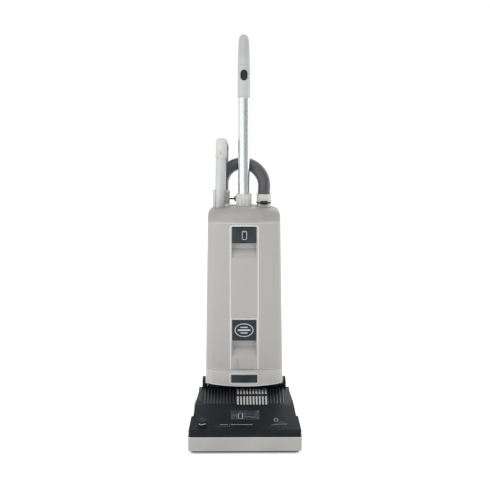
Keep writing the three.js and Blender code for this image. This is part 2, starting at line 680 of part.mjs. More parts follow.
/** The whole body's outer shape, drawn inwards by an inset. */
function bodyForm(inset, lowZ) {
  const top = BODY.topZ - inset;
  const heights = [lowZ, BODY.shoulderZ];
  for (const share of [0.3, 0.5, 0.66, 0.78, 0.87, 0.94, 0.985]) {
    heights.push(BODY.shoulderZ + share * (top - BODY.shoulderZ));
  }
  return loft(heights.map((z) => bodyRing(z, inset))).warp(crownTop);
}

/** Lowers the top of the body towards its sides. */
function crownTop(point) {
  const share = THREE.MathUtils.smoothstep(point[2], BODY.shoulderZ, BODY.topZ);
  point[2] -= BODY.crown * share * (point[0] / BODY.crownX) ** 2;
}

/** Everything under the body's curved lower edge. */
function underHem() {
  const reach = 130;
  const steps = 16;
  const edge = [];
  for (let i = 0; i <= steps; i++) {
    const x = reach * ((2 * i) / steps - 1);
    edge.push(new THREE.Vector2(x, BODY.lowZ - 0.1 + BODY.hemRise * (x / BODY.halfWidthLow) ** 2));
  }
  const floor = BODY.lowZ - 20;
  const outline = [...edge, new THREE.Vector2(reach, floor), new THREE.Vector2(-reach, floor)];
  return upright(outline, 0, 200).rotate([90, 0, 0]).translate([0, 200, 0]);
}

/** The finger scoop under a latch plate: deepest at its top, and running out to the face below. */
function scoop(topZ, depth, length) {
  const face = BODY.frontY + 0.6;
  const side = sideShape([
    [face - 8, topZ],
    [face + depth, topZ],
    [face + depth, topZ - length * 0.38],
    [face - 0.4, topZ - length],
    [face - 8, topZ - length],
  ]);
  return across(side, -LATCH.halfWidth, LATCH.halfWidth);
}

function bagDoor() {
  const shell = cut(bodyForm(0, BODY.seamZ), bodyForm(WALL, BODY.seamZ - 5));
  const halves = box(-200, 200, 0, BODY.partingY, BODY.seamZ + GAP, 720);
  const low = LOW_LATCH;
  const latchTop = TOP_LATCH_Z + LATCH.height;
  const lowTop = low.z + low.height;
  const pocketSide = LATCH.halfWidth + WALL;
  const pockets = [
    box(-pocketSide, pocketSide, 35, 56, TOP_LATCH_Z - LATCH.scoop - 4, latchTop + 4),
    box(-pocketSide, pocketSide, 35, 58, low.z - low.scoop - 4, lowTop + 4),
  ];
  let door = join(shell.intersect(halves), ...pockets.map((p) => p.intersect(bodyForm(0, BODY.seamZ))));
  const wide = LATCH.halfWidth + 0.4;
  const seat = (z0, z1) => box(-wide, wide, 20, 43, z0 - GAP, z1 + LATCH.topGap);
  door = cut(door, seat(TOP_LATCH_Z, latchTop), seat(low.z, lowTop));
  const hinge = rod("x", DOOR_HINGE.r, -130, 130, DOOR_HINGE.y, DOOR_HINGE.z, 32);
  const underHinge = cut(box(-130, 130, 20, DOOR_HINGE.y, 180, DOOR_HINGE.z), hinge);
  const hookPlaces = [-75, 60];
  const hookTop = DOOR_HINGE.z + 16;
  const hooks = hookPlaces.map((x) => box(x, x + 15, 42.6, 46, DOOR_HINGE.z - 14, hookTop));
  const bridges = hookPlaces.map((x) => box(x, x + 15, 38, 46, DOOR_HINGE.z + 3, hookTop));
  door = join(cut(door, underHinge), ...hooks, ...bridges);
  return cut(door, scoop(TOP_LATCH_Z, 18, LATCH.scoop), scoop(low.z, 20, low.scoop));
}

/** A latch plate with a curved face, hung on a pin along its top edge. */
function latchPlate(lowZ, height) {
  const front = bodyForm(-0.6, BODY.seamZ);
  const plate = box(-LATCH.halfWidth, LATCH.halfWidth, 20, 39, lowZ, lowZ + height - 0.5).intersect(front);
  const fingerRoom = sideShape([
    [45, lowZ + 8],
    [36.4, lowZ + 5],
    [36.4, lowZ - 1],
    [45, lowZ - 1],
  ]);
  return cut(plate, across(fingerRoom, -50, 50));
}

function lowerPanel() {
  const shell = cut(bodyForm(0, BODY.lowZ), bodyForm(WALL, BODY.lowZ - 5));
  const halves = box(-200, 200, 0, BODY.partingY, BODY.lowZ, BODY.seamZ - GAP);
  const around = (margin, y0, y1) => {
    const half = WINDOW.halfWidth + margin;
    return box(-half, half, y0, y1, WINDOW.low - margin, WINDOW.high + margin);
  };
  const seat = around(0.4, 20, 41);
  const backing = around(4, 35.5, 44);
  return cut(join(shell.intersect(halves), backing), seat, underHem());
}

/** The wand's line at a height, leaning slightly towards the handle. */
const wandX = (z) => WAND.x + WAND.lean * (z - WAND.z);

/** A rod along the wand's line. */
function wandRod(r, z0, z1, sides = 20) {
  const straight = rod("z", r, z0 - WAND.z, z1 - WAND.z, 0, 0, sides);
  const lean = THREE.MathUtils.radToDeg(Math.atan(WAND.lean));
  return moved(straight.rotate([0, lean, 0]), WAND.x, WAND.y, WAND.z);
}

function rearChassis() {
  const rearHalf = box(-200, 200, BODY.partingY + GAP, 200, BODY.lowZ, 720);
  const form = bodyForm(0, BODY.lowZ).intersect(rearHalf);
  const bagRoom = box(-100, 99, 90, 113, 330, BODY.topZ - 12);
  const motorRoom = box(-62, 99, 90, BODY.backY - 12, 205, 318);
  const filterRoom = box(-100, 99, 90, 120, BODY.lowZ + 8.5, 196);
  const filterSlot = box(-38 - GAP, 76 + GAP, 90, 128 + GAP, 317, 331);
  const hollowBack = BODY.backY + 1;
  const rearHollows = [box(-38, 98, 122, hollowBack, 330, 560), box(26, 98, 122, hollowBack, 572, 625)];
  const lean = wandRod(WAND.r + 1, WAND.low - 3, 720);
  const airWay = wandRod(AIRWAY_R, BODY.lowZ - 10, WAND.low);
  const tubeSeat = rod("z", TUBE.r + GAP, TUBE.low - 2, 720, 0, TUBE.y, 28);
  const inlet = rod("z", 16, 660, 720, CUFF.x, CUFF.y, 24);
  const inletTurn = rod("y", 16, 90, 140, CUFF.x, 655, 24);
  const shell = cut(form, bagRoom, motorRoom, filterRoom, filterSlot, ...rearHollows);
  return cut(shell, lean, airWay, tubeSeat, inlet, inletTurn, underHem());
}

function backCover() {
  const plate = rounded(
    [
      [-92, 205, 10],
      [92, 205, 10],
      [92, 640, 14],
      [-92, 640, 14],
    ],
    3,
  );
  const panel = across(plate, BODY.backY + GAP, BODY.backY + 3.2);
  return panel.rotate([0, 0, 90]).mirror([1, 0, 0]);
}

/** The collar that holds the wand upright on top of the chassis, open at the front. */
function wandHolder() {
  const x = wandX(708);
  const collar = rounded(
    [
      [x - 22, 128, 3],
      [x + 30, 128, 3],
      [x + 30, 158, 6],
      [x - 22, 158, 6],
    ],
    3,
  );
  const block = upright(collar, BODY.topZ - 10, 731);
  const under = bodyForm(-GAP, BODY.lowZ);
  const hookSeat = rod("x", HOOK.stemR + RUNNING_GAP, HOOK.left - 1, -36, HOOK.y, HOOK.z, 12);
  return cut(block, under, wandRod(WAND.r + 0.9, 600, 800), hookSeat);
}

function wandTube() {
  const ferrule = wandRod(WAND.r + 0.6, WAND.low, WAND.low + 14);
  const bore = wandRod(WAND.r - WAND.wall, 100, 1000);
  return cut(join(wandRod(WAND.r, WAND.low, WAND.grip + 6), ferrule), bore);
}

function wandGrip() {
  const { domeZ } = WAND;
  const sleeve = wandRod(WAND.gripR, WAND.grip - 2, domeZ);
  const dome = turned(
    [
      [0, -4],
      [WAND.gripR + 0.3, -4],
      [WAND.gripR + 0.6, 0],
      [WAND.gripR - 1, 5],
      [11, 9.2],
      [0, 11],
    ],
    28,
  );
  const cap = moved(dome, wandX(domeZ), WAND.y, domeZ);
  const outlet = rod("y", OUTLET.spigotR, WAND.y, 176, HOSE_LEG_X, OUTLET.z, 24);
  const airWay = join(
    wandRod(AIRWAY_R + 0.2, WAND.grip - 5, OUTLET.z + 8),
    rod("y", OUTLET.boreR, WAND.y, 190, HOSE_LEG_X, OUTLET.z, 20),
  );
  return cut(join(sleeve, cap, outlet), airWay, wandRod(WAND.r + GAP, 700, WAND.grip + 6 + GAP));
}

// ---------------------------------------------------------------- hose route
/** The centreline of the hose from the right-hand cuff, over the arch and down to the low bend. */
function hoseRoute() {
  const route = [new THREE.Vector3(CUFF.x, CUFF.y, CUFF.top)];
  const steps = 14;
  for (let i = 0; i <= steps; i++) {
    const a = (Math.PI * i) / steps;
    const share = THREE.MathUtils.smoothstep(i / steps, 0, 0.62);
    const x = HOSE.archX + HOSE.archR * Math.cos(a);
    const y = THREE.MathUtils.lerp(CUFF.y, HOSE.legY, share);
    route.push(new THREE.Vector3(x, y, HOSE.archZ + HOSE.archR * Math.sin(a)));
  }
  for (let i = 1; i <= 5; i++) {
    route.push(new THREE.Vector3(HOSE_LEG_X, HOSE.legY, HOSE.archZ - ((HOSE.archZ - HOSE.legLow) * i) / 5));
  }
  // The bend runs one step past its lowest point, so that the end can be cut square.
  for (let i = 1; i <= 6; i++) {
    const a = Math.PI + ((Math.PI / 2) * i) / 5;
    const y = HOSE.legY + HOSE.bendR * (1 + Math.cos(a));
    route.push(new THREE.Vector3(HOSE_LEG_X, y, HOSE.legLow + HOSE.bendR * Math.sin(a)));
  }
  return route;
}

/** The centreline from the low bend up the rear leg and over into the wand's grip. */
function returnRoute() {
  const rearY = HOSE.legY + 2 * HOSE.bendR;
  const route = [];
  for (let i = -1; i <= 5; i++) {
    const a = -Math.PI / 2 + ((Math.PI / 2) * i) / 5;
    const y = rearY - HOSE.bendR * (1 - Math.cos(a));
    route.push(new THREE.Vector3(HOSE_LEG_X, y, HOSE.legLow + HOSE.bendR * Math.sin(a)));
  }
  const straightTop = OUTLET.z - HOSE.topR;
  for (let i = 1; i <= 6; i++) {
    route.push(new THREE.Vector3(HOSE_LEG_X, rearY, HOSE.legLow + ((straightTop - HOSE.legLow) * i) / 6));
  }
  for (let i = 1; i <= 6; i++) {
    const a = ((Math.PI / 2) * i) / 6;
    const y = rearY - HOSE.topR * (1 - Math.cos(a));
    route.push(new THREE.Vector3(HOSE_LEG_X, y, OUTLET.z - HOSE.topR * (1 - Math.sin(a))));
  }
  route.push(new THREE.Vector3(HOSE_LEG_X, OUTLET.endY, OUTLET.z));
  return route;
}

/** A hose along a route, as a plain tube. */
function hoseAlong(route, steps, past) {
  const section = [];
  for (let k = 0; k < HOSE.sides; k++) {
    const a = (2 * Math.PI * k) / HOSE.sides;
    section.push(new THREE.Vector2(HOSE.r * Math.cos(a), HOSE.r * Math.sin(a)));
  }
  const g = new THREE.ExtrudeGeometry(new THREE.Shape(section), {
    steps,
    curveSegments: 1,
    extrudePath: new THREE.CatmullRomCurve3(route, false, "centripetal"),
  });
  return cut(solidOf(g), past);
}

function hosePort() {
  const { x, y, r, low, top } = CUFF;
  const boreR = 15.8;
  const collar = pipe("z", r - 0.7, boreR, BODY.topZ - 12, low - 1.6, x, y, 32);
  const neck = pipe("z", r - 3, boreR, low - 3, top - 15.4, x, y, 28);
  return join(cut(collar, bodyForm(-GAP, BODY.lowZ)), neck);
}

function hoseCuff() {
  const { x, y, r, low, top } = CUFF;
  const neckRoom = rod("z", r - 3 + GAP, low - 10, top - 15, x, y, 28);
  const bore = rod("z", 15, low - 10, top + 10, x, y, 20);
  return cut(rod("z", r, low - 0.6, top, x, y, 36), neckRoom, bore);
}

function hoseClip() {
  const { x, y, r, low } = CUFF;
  const front = box(x - 30, x + 30, y - 40, y + 4, low - 20, low + 30);
  const ring = pipe("z", r + 1.2, r + GAP, low + 0.2, low + 4.2, x, y, 36).intersect(front);
  return join(ring, box(x - 11, x + 11, y - r - 4.8, y - r - 0.7, low - 2, low + 8.4));
}

// ---------------------------------------------------------------- handle
function handleSocket() {
  const low = BODY.topZ - 6;
  const collar = pipe("z", SOCKET.r, TUBE.r + GAP, low, SOCKET.top, 0, TUBE.y, 32);
  const ribs = [];
  for (let k = 0; k < SOCKET.ribs; k++) {
    const a = Math.PI * (1.2 + 0.15 * k);
    const reach = SOCKET.r - 0.5;
    const y = TUBE.y + reach * Math.sin(a);
    ribs.push(rod("z", 2, low, SOCKET.top - 2.5, reach * Math.cos(a), y, 10));
  }
  const socket = cut(join(collar, ...ribs), rod("z", TUBE.r + GAP, 600, 800, 0, TUBE.y, 28));
  return cut(socket, bodyForm(-GAP, BODY.lowZ));
}

/** One level of the handle grip: an oval whose centre leans back towards the top. */
function gripRing(z, halfX, halfY, y) {
  const ring = [];
  for (let k = 0; k < 24; k++) {
    const a = (k / 24) * 2 * Math.PI;
    ring.push(new THREE.Vector3(halfX * Math.cos(a), y + halfY * Math.sin(a), z));
  }
  return ring;
}

function lowerGrip() {
  const levels = [
    [1013, 18.4, 18.4, 132],
    [1050, 18.5, 19, 132.5],
    [1090, 18.4, 19.6, 133.5],
    [1112.6, 18, 19.4, 135],
  ];
  const form = loft(levels.map((level) => gripRing(...level)));
  const bore = rod("z", TUBE.r + GAP, 1000, TUBE.high + GAP, 0, TUBE.y, 28);
  const pocket = switchOutline(0.5, 100, SWITCH.frontY + SWITCH.depth + 4);
  return cut(form, bore, pocket);
}

/** The switch button's stadium outline, from one depth to another. */
function switchOutline(clearance, y0, y1) {
  const half = SWITCH.half + clearance;
  const [low, high] = [SWITCH.low - clearance, SWITCH.high + clearance];
  const corner = half - 0.1;
  const outline = rounded(
    [
      [-half, low, corner],
      [half, low, corner],
      [half, high, corner],
      [-half, high, corner],
    ],
    5,
  );
  const g = new THREE.ExtrudeGeometry(new THREE.Shape(outline), { depth: y1 - y0, bevelEnabled: false });
  return solidOf(g.rotateX(Math.PI / 2).translate(0, y1, 0));
}

function upperGrip() {
  const levels = [
    [1113, 18, 19.4, 135],
    [1140, 17.4, 18.6, 138],
    [1165, 16.4, 17.6, 143.5],
    [1184, 15.4, 16.6, 150],
    [1194, 13, 14, 154],
    [1200, 8.6, 9.6, 156.5],
    [GRIP_TOP - 0.6, 3.5, 4, 158],
  ];
  return loft(levels.map((level) => gripRing(...level)));
}

// ---------------------------------------------------------------- the rest of the body
function neckBarrel() {
  const { r, bore, halfLength } = BARREL;
  const barrel = pipe("x", r, bore, -halfLength, halfLength, PIVOT.y, PIVOT.z, 40);
  const ends = [-halfLength, halfLength - 4].map((x) => rod("x", bore + 1, x, x + 4, PIVOT.y, PIVOT.z, 40));
  const neck = box(-104, -58, 112, BODY.backY - 3, PIVOT.z + 20, BODY.lowZ - GAP);
  const rest = box(-108, 108, 70, BODY.backY - 3, PIVOT.z + 36, BODY.lowZ - GAP);
  const airWay = rod("z", AIRWAY_R, PIVOT.z, 200, wandX(170), WAND.y, 20);
  const mouth = box(DUCT.left + 4, DUCT.right - 4, 50, 75, 66, 104);
  const pinHoles = rod("x", PIVOT_PIN_R + GAP, -120, 120, PIVOT.y, PIVOT.z, 24);
  const inside = rod("x", bore, -halfLength + 4, halfLength - 4, PIVOT.y, PIVOT.z, 40);
  return cut(join(barrel, ...ends, cut(join(neck, rest), inside)), airWay, mouth, pinHoles);
}

function filterBag() {
  const middleY = 78;
  const square = (v) => Math.sign(v) * Math.abs(v) ** 0.7;
  const rings = [];
  const levels = [
    [345, 30, 8],
    [352, 62, 22],
    [380, 84, 30],
    [470, 90, 32],
    [560, 88, 31],
    [625, 80, 28],
    [650, 58, 20],
    [656, 30, 9],
  ];
  for (const [z, halfX, halfY] of levels) {
    const ring = [];
    for (let k = 0; k < 20; k++) {
      const a = (k / 20) * 2 * Math.PI;
      const y = middleY + 0.62 * halfY * square(Math.sin(a));
      ring.push(new THREE.Vector3(halfX * square(Math.cos(a)), y, z));
    }
    rings.push(ring);
  }
  const latchRoom = LATCH.halfWidth + 5;
  const clear = [
    box(-latchRoom, latchRoom, 20, 60.5, 520, 650),
    box(-latchRoom, latchRoom, 20, 61, 340, 356),
  ];
  return cut(loft(rings), ...clear, rod("y", 27, 95, 130, CUFF.x - 14, 632, 24));
}

function bagCollar() {
  const plate = box(CUFF.x - 42, CUFF.x + 24, 98, 101, 604, 662);
  return cut(plate, rod("y", 14, 80, 120, CUFF.x, 635, 24));
}

function suctionMotor() {
  const { x, y, r } = SUCTION;
  const can = rod("z", r - 4, 262, 312, x, y, 24);
  const fanRoom = rod("z", r - 3, 226, 261, x, y, 24);
  const eye = rod("z", 15, 213, 227, x, y);
  const house = cut(rod("z", r, 214, 260, x, y, 24), fanRoom, eye);
  const lid = rod("z", r, 257, 263, x, y, 24);
  return cut(join(can, house, lid), rod("z", 6, 250, 300, x, y, 12));
}

function suctionFan() {
  const { x, y } = SUCTION;
  const disc = rod("z", 35, 230, 233, x, y, 24);
  const hub = rod("z", 10, 232, 250, x, y, 20);
  const shaft = rod("z", 5, 249, 290, x, y, 12);
  const blades = [];
  for (let k = 0; k < 6; k++) {
    const blade = box(9, 34, -1, 1, 232.5, 248).rotate([0, 0, k * 60 + 12]);
    blades.push(moved(blade, x, y, 0));
  }
  return join(disc, hub, shaft, ...blades);
}

function upperHook() {
  const { left, stemR, crossX, y, z } = HOOK;
  const stem = rod("x", stemR, left, crossX, y, z, 12);
  const cross = rod("z", 2.4, z - 8.5, z + 8.5, crossX, y, 10);
  return join(stem, cross, rod("x", 4.2, crossX - 3.5, crossX + 2, y, z, 12));
}

function lowerHook() {
  const y = BACK_FACE;
  const plate = box(38, 66, y, y + 3, 232, 290);
  const arm = box(46, 58, y + 2, y + 26, 254, 264);
  const lip = box(43, 61, y + 21, y + 27, 226, 264);
  return join(plate, arm, lip);
}

function carryHandle() {
  const { reach, r, left, right, z } = CARRY;
  const far = BACK_FACE + reach + 2;
  const bar = rod("x", r, left, right, BACK_FACE + reach, z);
  const side = rounded(
    [
      [BACK_FACE, z - 20],
      [far, z - r, 4],
      [far, z + r, 4],
      [BACK_FACE, z + 28],
    ],
    2,
  );
  const legs = [left, right - 10].map((x) => across(side, x, x + 10));
  return join(bar, ...legs);
}

function upperBody() {
  const body = new THREE.Group();
  piece(body, "neck_barrel", neckBarrel(), BLACK);
  const pin = rod("x", PIVOT_PIN_R, BARREL.halfLength - 8, CHEEK.horn - 3, PIVOT.y, PIVOT.z, 32);
  piece(body, "pivot_pin_left", pin.mirror([1, 0, 0]), STEEL);
  piece(body, "pivot_pin_right", pin, STEEL);
  piece(body, "rear_chassis", rearChassis(), LIGHT_GREY);
  piece(body, "back_cover", backCover(), LIGHT_GREY);
  piece(body, "bag_door", bagDoor(), LIGHT_GREY);
  piece(body, "top_latch", latchPlate(TOP_LATCH_Z, LATCH.height), SLATE);
  piece(body, "lower_latch", latchPlate(LOW_LATCH.z, LOW_LATCH.height), SLATE);
  piece(body, "lower_panel", lowerPanel(), LIGHT_GREY);
  const window = box(-WINDOW.halfWidth, WINDOW.halfWidth, 20, 40, WINDOW.low, WINDOW.high);
  piece(body, "panel_window", window.intersect(bodyForm(0.4, BODY.lowZ)), SLATE);
  piece(body, "filter_bag", filterBag(), FLEECE);
  piece(body, "bag_collar", bagCollar(), PALE_GREY);
  piece(body, "pre_motor_filter", box(-38, 76, 72, 128, 319.5, 328.5), WHITE);
  piece(body, "suction_motor", suctionMotor(), STEEL);
  piece(body, "suction_fan", suctionFan(), ALUMINIUM);
  piece(body, "exhaust_filter", box(-92, 92, 56, 92, 150, 188), WHITE);

  piece(body, "wand_holder", wandHolder(), LIGHT_GREY);
  piece(body, "wand_tube", wandTube(), PALE_GREY);
  piece(body, "wand_grip", wandGrip(), PALE_GREY);
  const cuffEnd = pipe("y", OUTLET.r, OUTLET.spigotR + GAP, 168, 188, HOSE_LEG_X, OUTLET.z, 28);
  const lipEnd = pipe("y", OUTLET.r, OUTLET.boreR, 187, OUTLET.endY - 0.4, HOSE_LEG_X, OUTLET.z, 28);
  piece(body, "wand_hose_cuff", join(cuffEnd, lipEnd), BLACK);
  piece(body, "hose_port", hosePort(), PALE_GREY);
  piece(body, "hose_cuff", hoseCuff(), PALE_GREY);
  piece(body, "hose_clip", hoseClip(), BLACK);
  const split = HOSE.legY + HOSE.bendR; // the two hoses meet at the lowest point of the bend
  const behind = box(-140, 0, split - GAP / 2, 300, 420, HOSE.legLow - 5);
  const ahead = box(-140, 0, 100, split + GAP / 2, 420, HOSE.legLow - 5);
  const inCuff = box(20, 100, 80, 200, 700, CUFF.top + GAP);
  piece(body, "hose_arch", hoseAlong(hoseRoute(), 26, join(behind, inCuff)), HOSE_GREY);
  piece(body, "hose_return", hoseAlong(returnRoute(), 20, ahead), HOSE_GREY);

  piece(body, "handle_socket", handleSocket(), PALE_GREY);
  const handleTube = pipe("z", TUBE.r, TUBE.r - TUBE.wall, TUBE.low, TUBE.high, 0, TUBE.y, 36);
  piece(body, "handle_tube", handleTube, ALUMINIUM);
  piece(body, "grip_lower", lowerGrip(), LIGHT_GREY);
  piece(body, "grip_upper", upperGrip(), LIGHT_GREY);
  piece(body, "switch_button", switchOutline(0, SWITCH.frontY, SWITCH.frontY + SWITCH.depth), BLACK);
  piece(body, "cord_gland", pipe("y", 6, 3.6, 152.2, 160, 0, 1030, 16), BLACK);
  piece(body, "upper_cord_hook", upperHook(), BLACK);
  piece(body, "lower_cord_hook", lowerHook(), BLACK);
  piece(body, "carry_handle", carryHandle(), BLACK);
  return body;
}

const cleaner = new THREE.Group();
cleaner.position.y = FRAME_Y;
cleaner.add(powerHead(), upperBody());
export default cleaner;
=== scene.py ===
"""Commercial upright vacuum cleaner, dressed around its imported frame.

The frame holds every working part. The classes below make the visible pieces of each sub-assembly, give
them their finishes, and let each one ride on the body that carries it. Lengths in the classes are in
millimetres of the design, and at() turns them into metres of the frame.
"""

import json
import logging
import math
import random
from dataclasses import dataclass
from enum import Enum
from typing import Callable, Iterable, Sequence

import bmesh
import bpy
from mathutils import Matrix, Vector
from mathutils.bvhtree import BVHTree


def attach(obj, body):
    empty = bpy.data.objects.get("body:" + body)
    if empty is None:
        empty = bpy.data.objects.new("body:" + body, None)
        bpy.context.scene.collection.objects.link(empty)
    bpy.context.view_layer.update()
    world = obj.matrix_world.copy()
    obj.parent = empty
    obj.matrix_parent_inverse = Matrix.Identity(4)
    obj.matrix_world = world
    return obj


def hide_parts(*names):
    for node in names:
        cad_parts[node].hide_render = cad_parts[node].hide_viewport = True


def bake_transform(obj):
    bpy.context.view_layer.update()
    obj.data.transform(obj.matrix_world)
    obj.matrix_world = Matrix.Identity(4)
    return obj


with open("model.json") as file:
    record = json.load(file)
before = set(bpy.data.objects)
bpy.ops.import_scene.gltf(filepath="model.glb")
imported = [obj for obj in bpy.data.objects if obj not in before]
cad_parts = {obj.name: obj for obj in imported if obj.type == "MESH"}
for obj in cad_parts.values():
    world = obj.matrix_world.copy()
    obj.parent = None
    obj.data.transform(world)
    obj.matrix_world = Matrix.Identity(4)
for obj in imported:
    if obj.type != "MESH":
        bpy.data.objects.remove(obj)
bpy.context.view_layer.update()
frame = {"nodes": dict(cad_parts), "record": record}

LOG = logging.getLogger("upright_vacuum")

MM = 0.001
FRAME_Y = -10.775  # the design's shift along Y, which centres its footprint
SLOPE = math.atan2(38.5, 115.0)  # the head cover's long front slope
OUT_FRONT = Vector((0.0, -1.0, 0.0))
OUT_BACK = Vector((0.0, 1.0, 0.0))
UP = Vector((0.0, 0.0, 1.0))
WAND_LEAN = math.atan(0.0337)  # the wand leans over by this much
CAST_FROM = 1.0  # rays start this far out, in metres

Profile = Sequence[tuple[float, float]]
Spots = list[tuple[float, float]]


# ------------------------------------------------------------------------------------------ places
def at(x: float, y: float, z: float) -> Vector:
    """Gives the frame's place, in metres, of a design place in millimetres."""
    return Vector((x * MM, (y + FRAME_Y) * MM, z * MM))


class Skin:
    """The outer surface of some frame nodes, found by casting rays at it."""

    def __init__(self, *nodes: str) -> None:
        """Gathers the nodes' meshes.

        Args:
            *nodes: The nodes' names.
        """
        gathered = bmesh.new()
        for node in nodes:
            gathered.from_mesh(frame["nodes"][node].data)
        self.tree = BVHTree.FromBMesh(gathered)
        gathered.free()

    def hit(self, start: Vector, towards: Vector, proud: float) -> Vector:
        """Gives the first place met, moved back by a height in millimetres."""
        place = self.tree.ray_cast(start, towards)[0]
        if place is None:
            raise ValueError(f"nothing at {tuple(start)} towards {tuple(towards)}")
        return place - towards * proud * MM

    def front(self, spots: Spots, proud: float = 0.0) -> list[Vector]:
        """Lays (x, z) spots on the front face."""
        return [self.hit(Vector((x * MM, -CAST_FROM, z * MM)), -OUT_FRONT, proud) for x, z in spots]

    def back(self, spots: Spots, proud: float = 0.0) -> list[Vector]:
        """Lays (x, z) spots on the back face."""
        return [self.hit(Vector((x * MM, CAST_FROM, z * MM)), -OUT_BACK, proud) for x, z in spots]

    def top(self, spots: Spots, proud: float = 0.0) -> list[Vector]:
        """Lays (x, y) spots on the top."""
        return [self.hit(at(x, y, 0.0) + UP * 2 * CAST_FROM, -UP, proud) for x, y in spots]


def stepped(spots: Spots, gap: float = 9.0, closed: bool = False) -> Spots:
    """Adds spots along long straight stretches, so that a line can follow a curved face.

    Args:
        spots: The outline's spots, in millimetres.
        gap: The longest stretch left.
        closed: Whether the last spot joins the first.

    Returns:
        The outline with the added spots.
    """
    ends = list(zip(spots, spots[1:] + spots[:1])) if closed else list(zip(spots, spots[1:]))
    out: Spots = []
    for (x0, y0), (x1, y1) in ends:
        count = max(1, math.ceil(math.hypot(x1 - x0, y1 - y0) / gap))
        out += [(x0 + (x1 - x0) * k / count, y0 + (y1 - y0) * k / count) for k in range(count)]
    return out if closed else out + [spots[-1]]


def arc(cx: float, cy: float, rx: float, ry: float, start: float, stop: float, steps: int) -> Spots:
    """Gives spots along an oval arc, its angles in degrees."""
    turns = [math.radians(start + (stop - start) * k / steps) for k in range(steps + 1)]
    return [(cx + rx * math.cos(a), cy + ry * math.sin(a)) for a in turns]


def round_rect(cx: float, cy: float, width: float, height: float, radius: float, steps: int = 5) -> Spots:
    """Gives the outline of a rectangle with round corners, in millimetres."""
    w, h = width / 2 - radius, height / 2 - radius
    corners = ((w, h, 0), (-w, h, 90), (-w, -h, 180), (w, -h, 270))
    return [spot for x, y, a in corners for spot in arc(cx + x, cy + y, radius, radius, a, a + 90, steps)]


def wave(cx: float, cy: float, length: float, height: float, periods: float, steps: int = 24) -> Spots:
    """Gives spots along a level wave."""
    shares = [k / steps for k in range(steps + 1)]
    return [(cx + length * (t - 0.5), cy + height * math.sin(math.tau * periods * t)) for t in shares]


class Axis(Enum):
    """The direction that a turned piece's own height points in."""

    RIGHT = "x"
    BACK = "y"
    UP = "z"
    DOWN = "-z"

    def matrix(self, x: float, y: float, z: float) -> Matrix:
        """Gives the placing matrix of a piece turned about this direction at a design place."""
        turns = {
            "x": Matrix.Rotation(math.radians(90), 4, "Y"),
            "y": Matrix.Rotation(math.radians(-90), 4, "X"),
            "z": Matrix.Identity(4),
            "-z": Matrix.Rotation(math.radians(180), 4, "X"),
        }
        return Matrix.Translation(at(x, y, z)) @ turns[self.value]


# ---------------------------------------------------------------------------------------- finishes
class ShaderBench:
    """A material with one principled surface, and short ways to add the nodes that feed it."""

    def __init__(self, title: str) -> None:
        """Starts an empty material.

        Args:
            title: The material's name.
        """
        self.material = bpy.data.materials.new(title)
        self.material.use_nodes = True
        self.nodes = self.material.node_tree.nodes
        self.links = self.material.node_tree.links
        self.surface = self.nodes["Principled BSDF"]
        self.place = self.nodes.new("ShaderNodeTexCoord").outputs["Object"]

    def add(self, kind: str, out: str | int = 0, **feeds: object) -> bpy.types.NodeSocket:
        """Adds a node and gives one of its outputs.

        Args:
            kind: The node's type name.
            out: The output wanted.
            **feeds: Values or sockets for the node's inputs, by name with _ for a space.

        Returns:
            The output socket.
        """
        node = self.nodes.new(kind)
        for key, value in feeds.items():
            if hasattr(node, key):
                setattr(node, key, value)
                continue
            socket = node.inputs[key.replace("_", " ")]
            if isinstance(value, bpy.types.NodeSocket):
                self.links.new(value, socket)
            else:
                socket.default_value = value
        return node.outputs[out]

    def feed(self, socket: str, source: bpy.types.NodeSocket) -> None:
        """Links a source into one of the surface's sockets."""
        self.links.new(source, self.surface.inputs[socket])

    def blend(self, share: bpy.types.NodeSocket, low: Sequence[float], high: Sequence[float],
              start: float = 0.35, stop: float = 0.65) -> bpy.types.NodeSocket:
        """Runs from one colour to another as a share goes from start to stop."""
        ramp = self.nodes.new("ShaderNodeValToRGB")
        ramp.color_ramp.elements[0].position = start
        ramp.color_ramp.elements[1].position = stop
        ramp.color_ramp.elements[0].color = (*low, 1.0)
        ramp.color_ramp.elements[1].color = (*high, 1.0)
        self.links.new(share, ramp.inputs["Fac"])
        return ramp.outputs["Color"]

    def between(self, share: bpy.types.NodeSocket, low: float, high: float) -> bpy.types.NodeSocket:
        """Maps a share of 0 to 1 onto a range."""
        return self.add("ShaderNodeMapRange", Value=share, To_Min=low, To_Max=high)

    def relief(self, height: bpy.types.NodeSocket, strength: float, depth: float) -> None:
        """Bumps the surface by a height pattern.

        Args:
            height: The pattern.
            strength: How strongly it shows, from 0 to 1.
            depth: Its depth in metres.
        """
        bump = self.add("ShaderNodeBump", Height=height, Strength=strength, Distance=depth)
        self.feed("Normal", bump)


def shaded(colour: Sequence[float], factor: float) -> tuple[float, ...]:
    """Makes a colour darker or lighter by a factor."""
    return tuple(min(1.0, channel * factor) for channel in colour)


@dataclass(frozen=True)
class Finish:
    """A finish, made into a material once and shared by the pieces that have it."""

    title: str
    colour: tuple[float, float, float]
    roughness: float = 0.5

    def dress(self, bench: ShaderBench) -> None:
        """Sets the material's nodes; each kind of finish has its own."""
        raise NotImplementedError

    def material(self) -> bpy.types.Material:
        """Gives the finish's material, and makes it the first time."""
        known = bpy.data.materials.get(self.title)
        if known:
            return known
        bench = ShaderBench(self.title)
        self.dress(bench)
        return bench.material


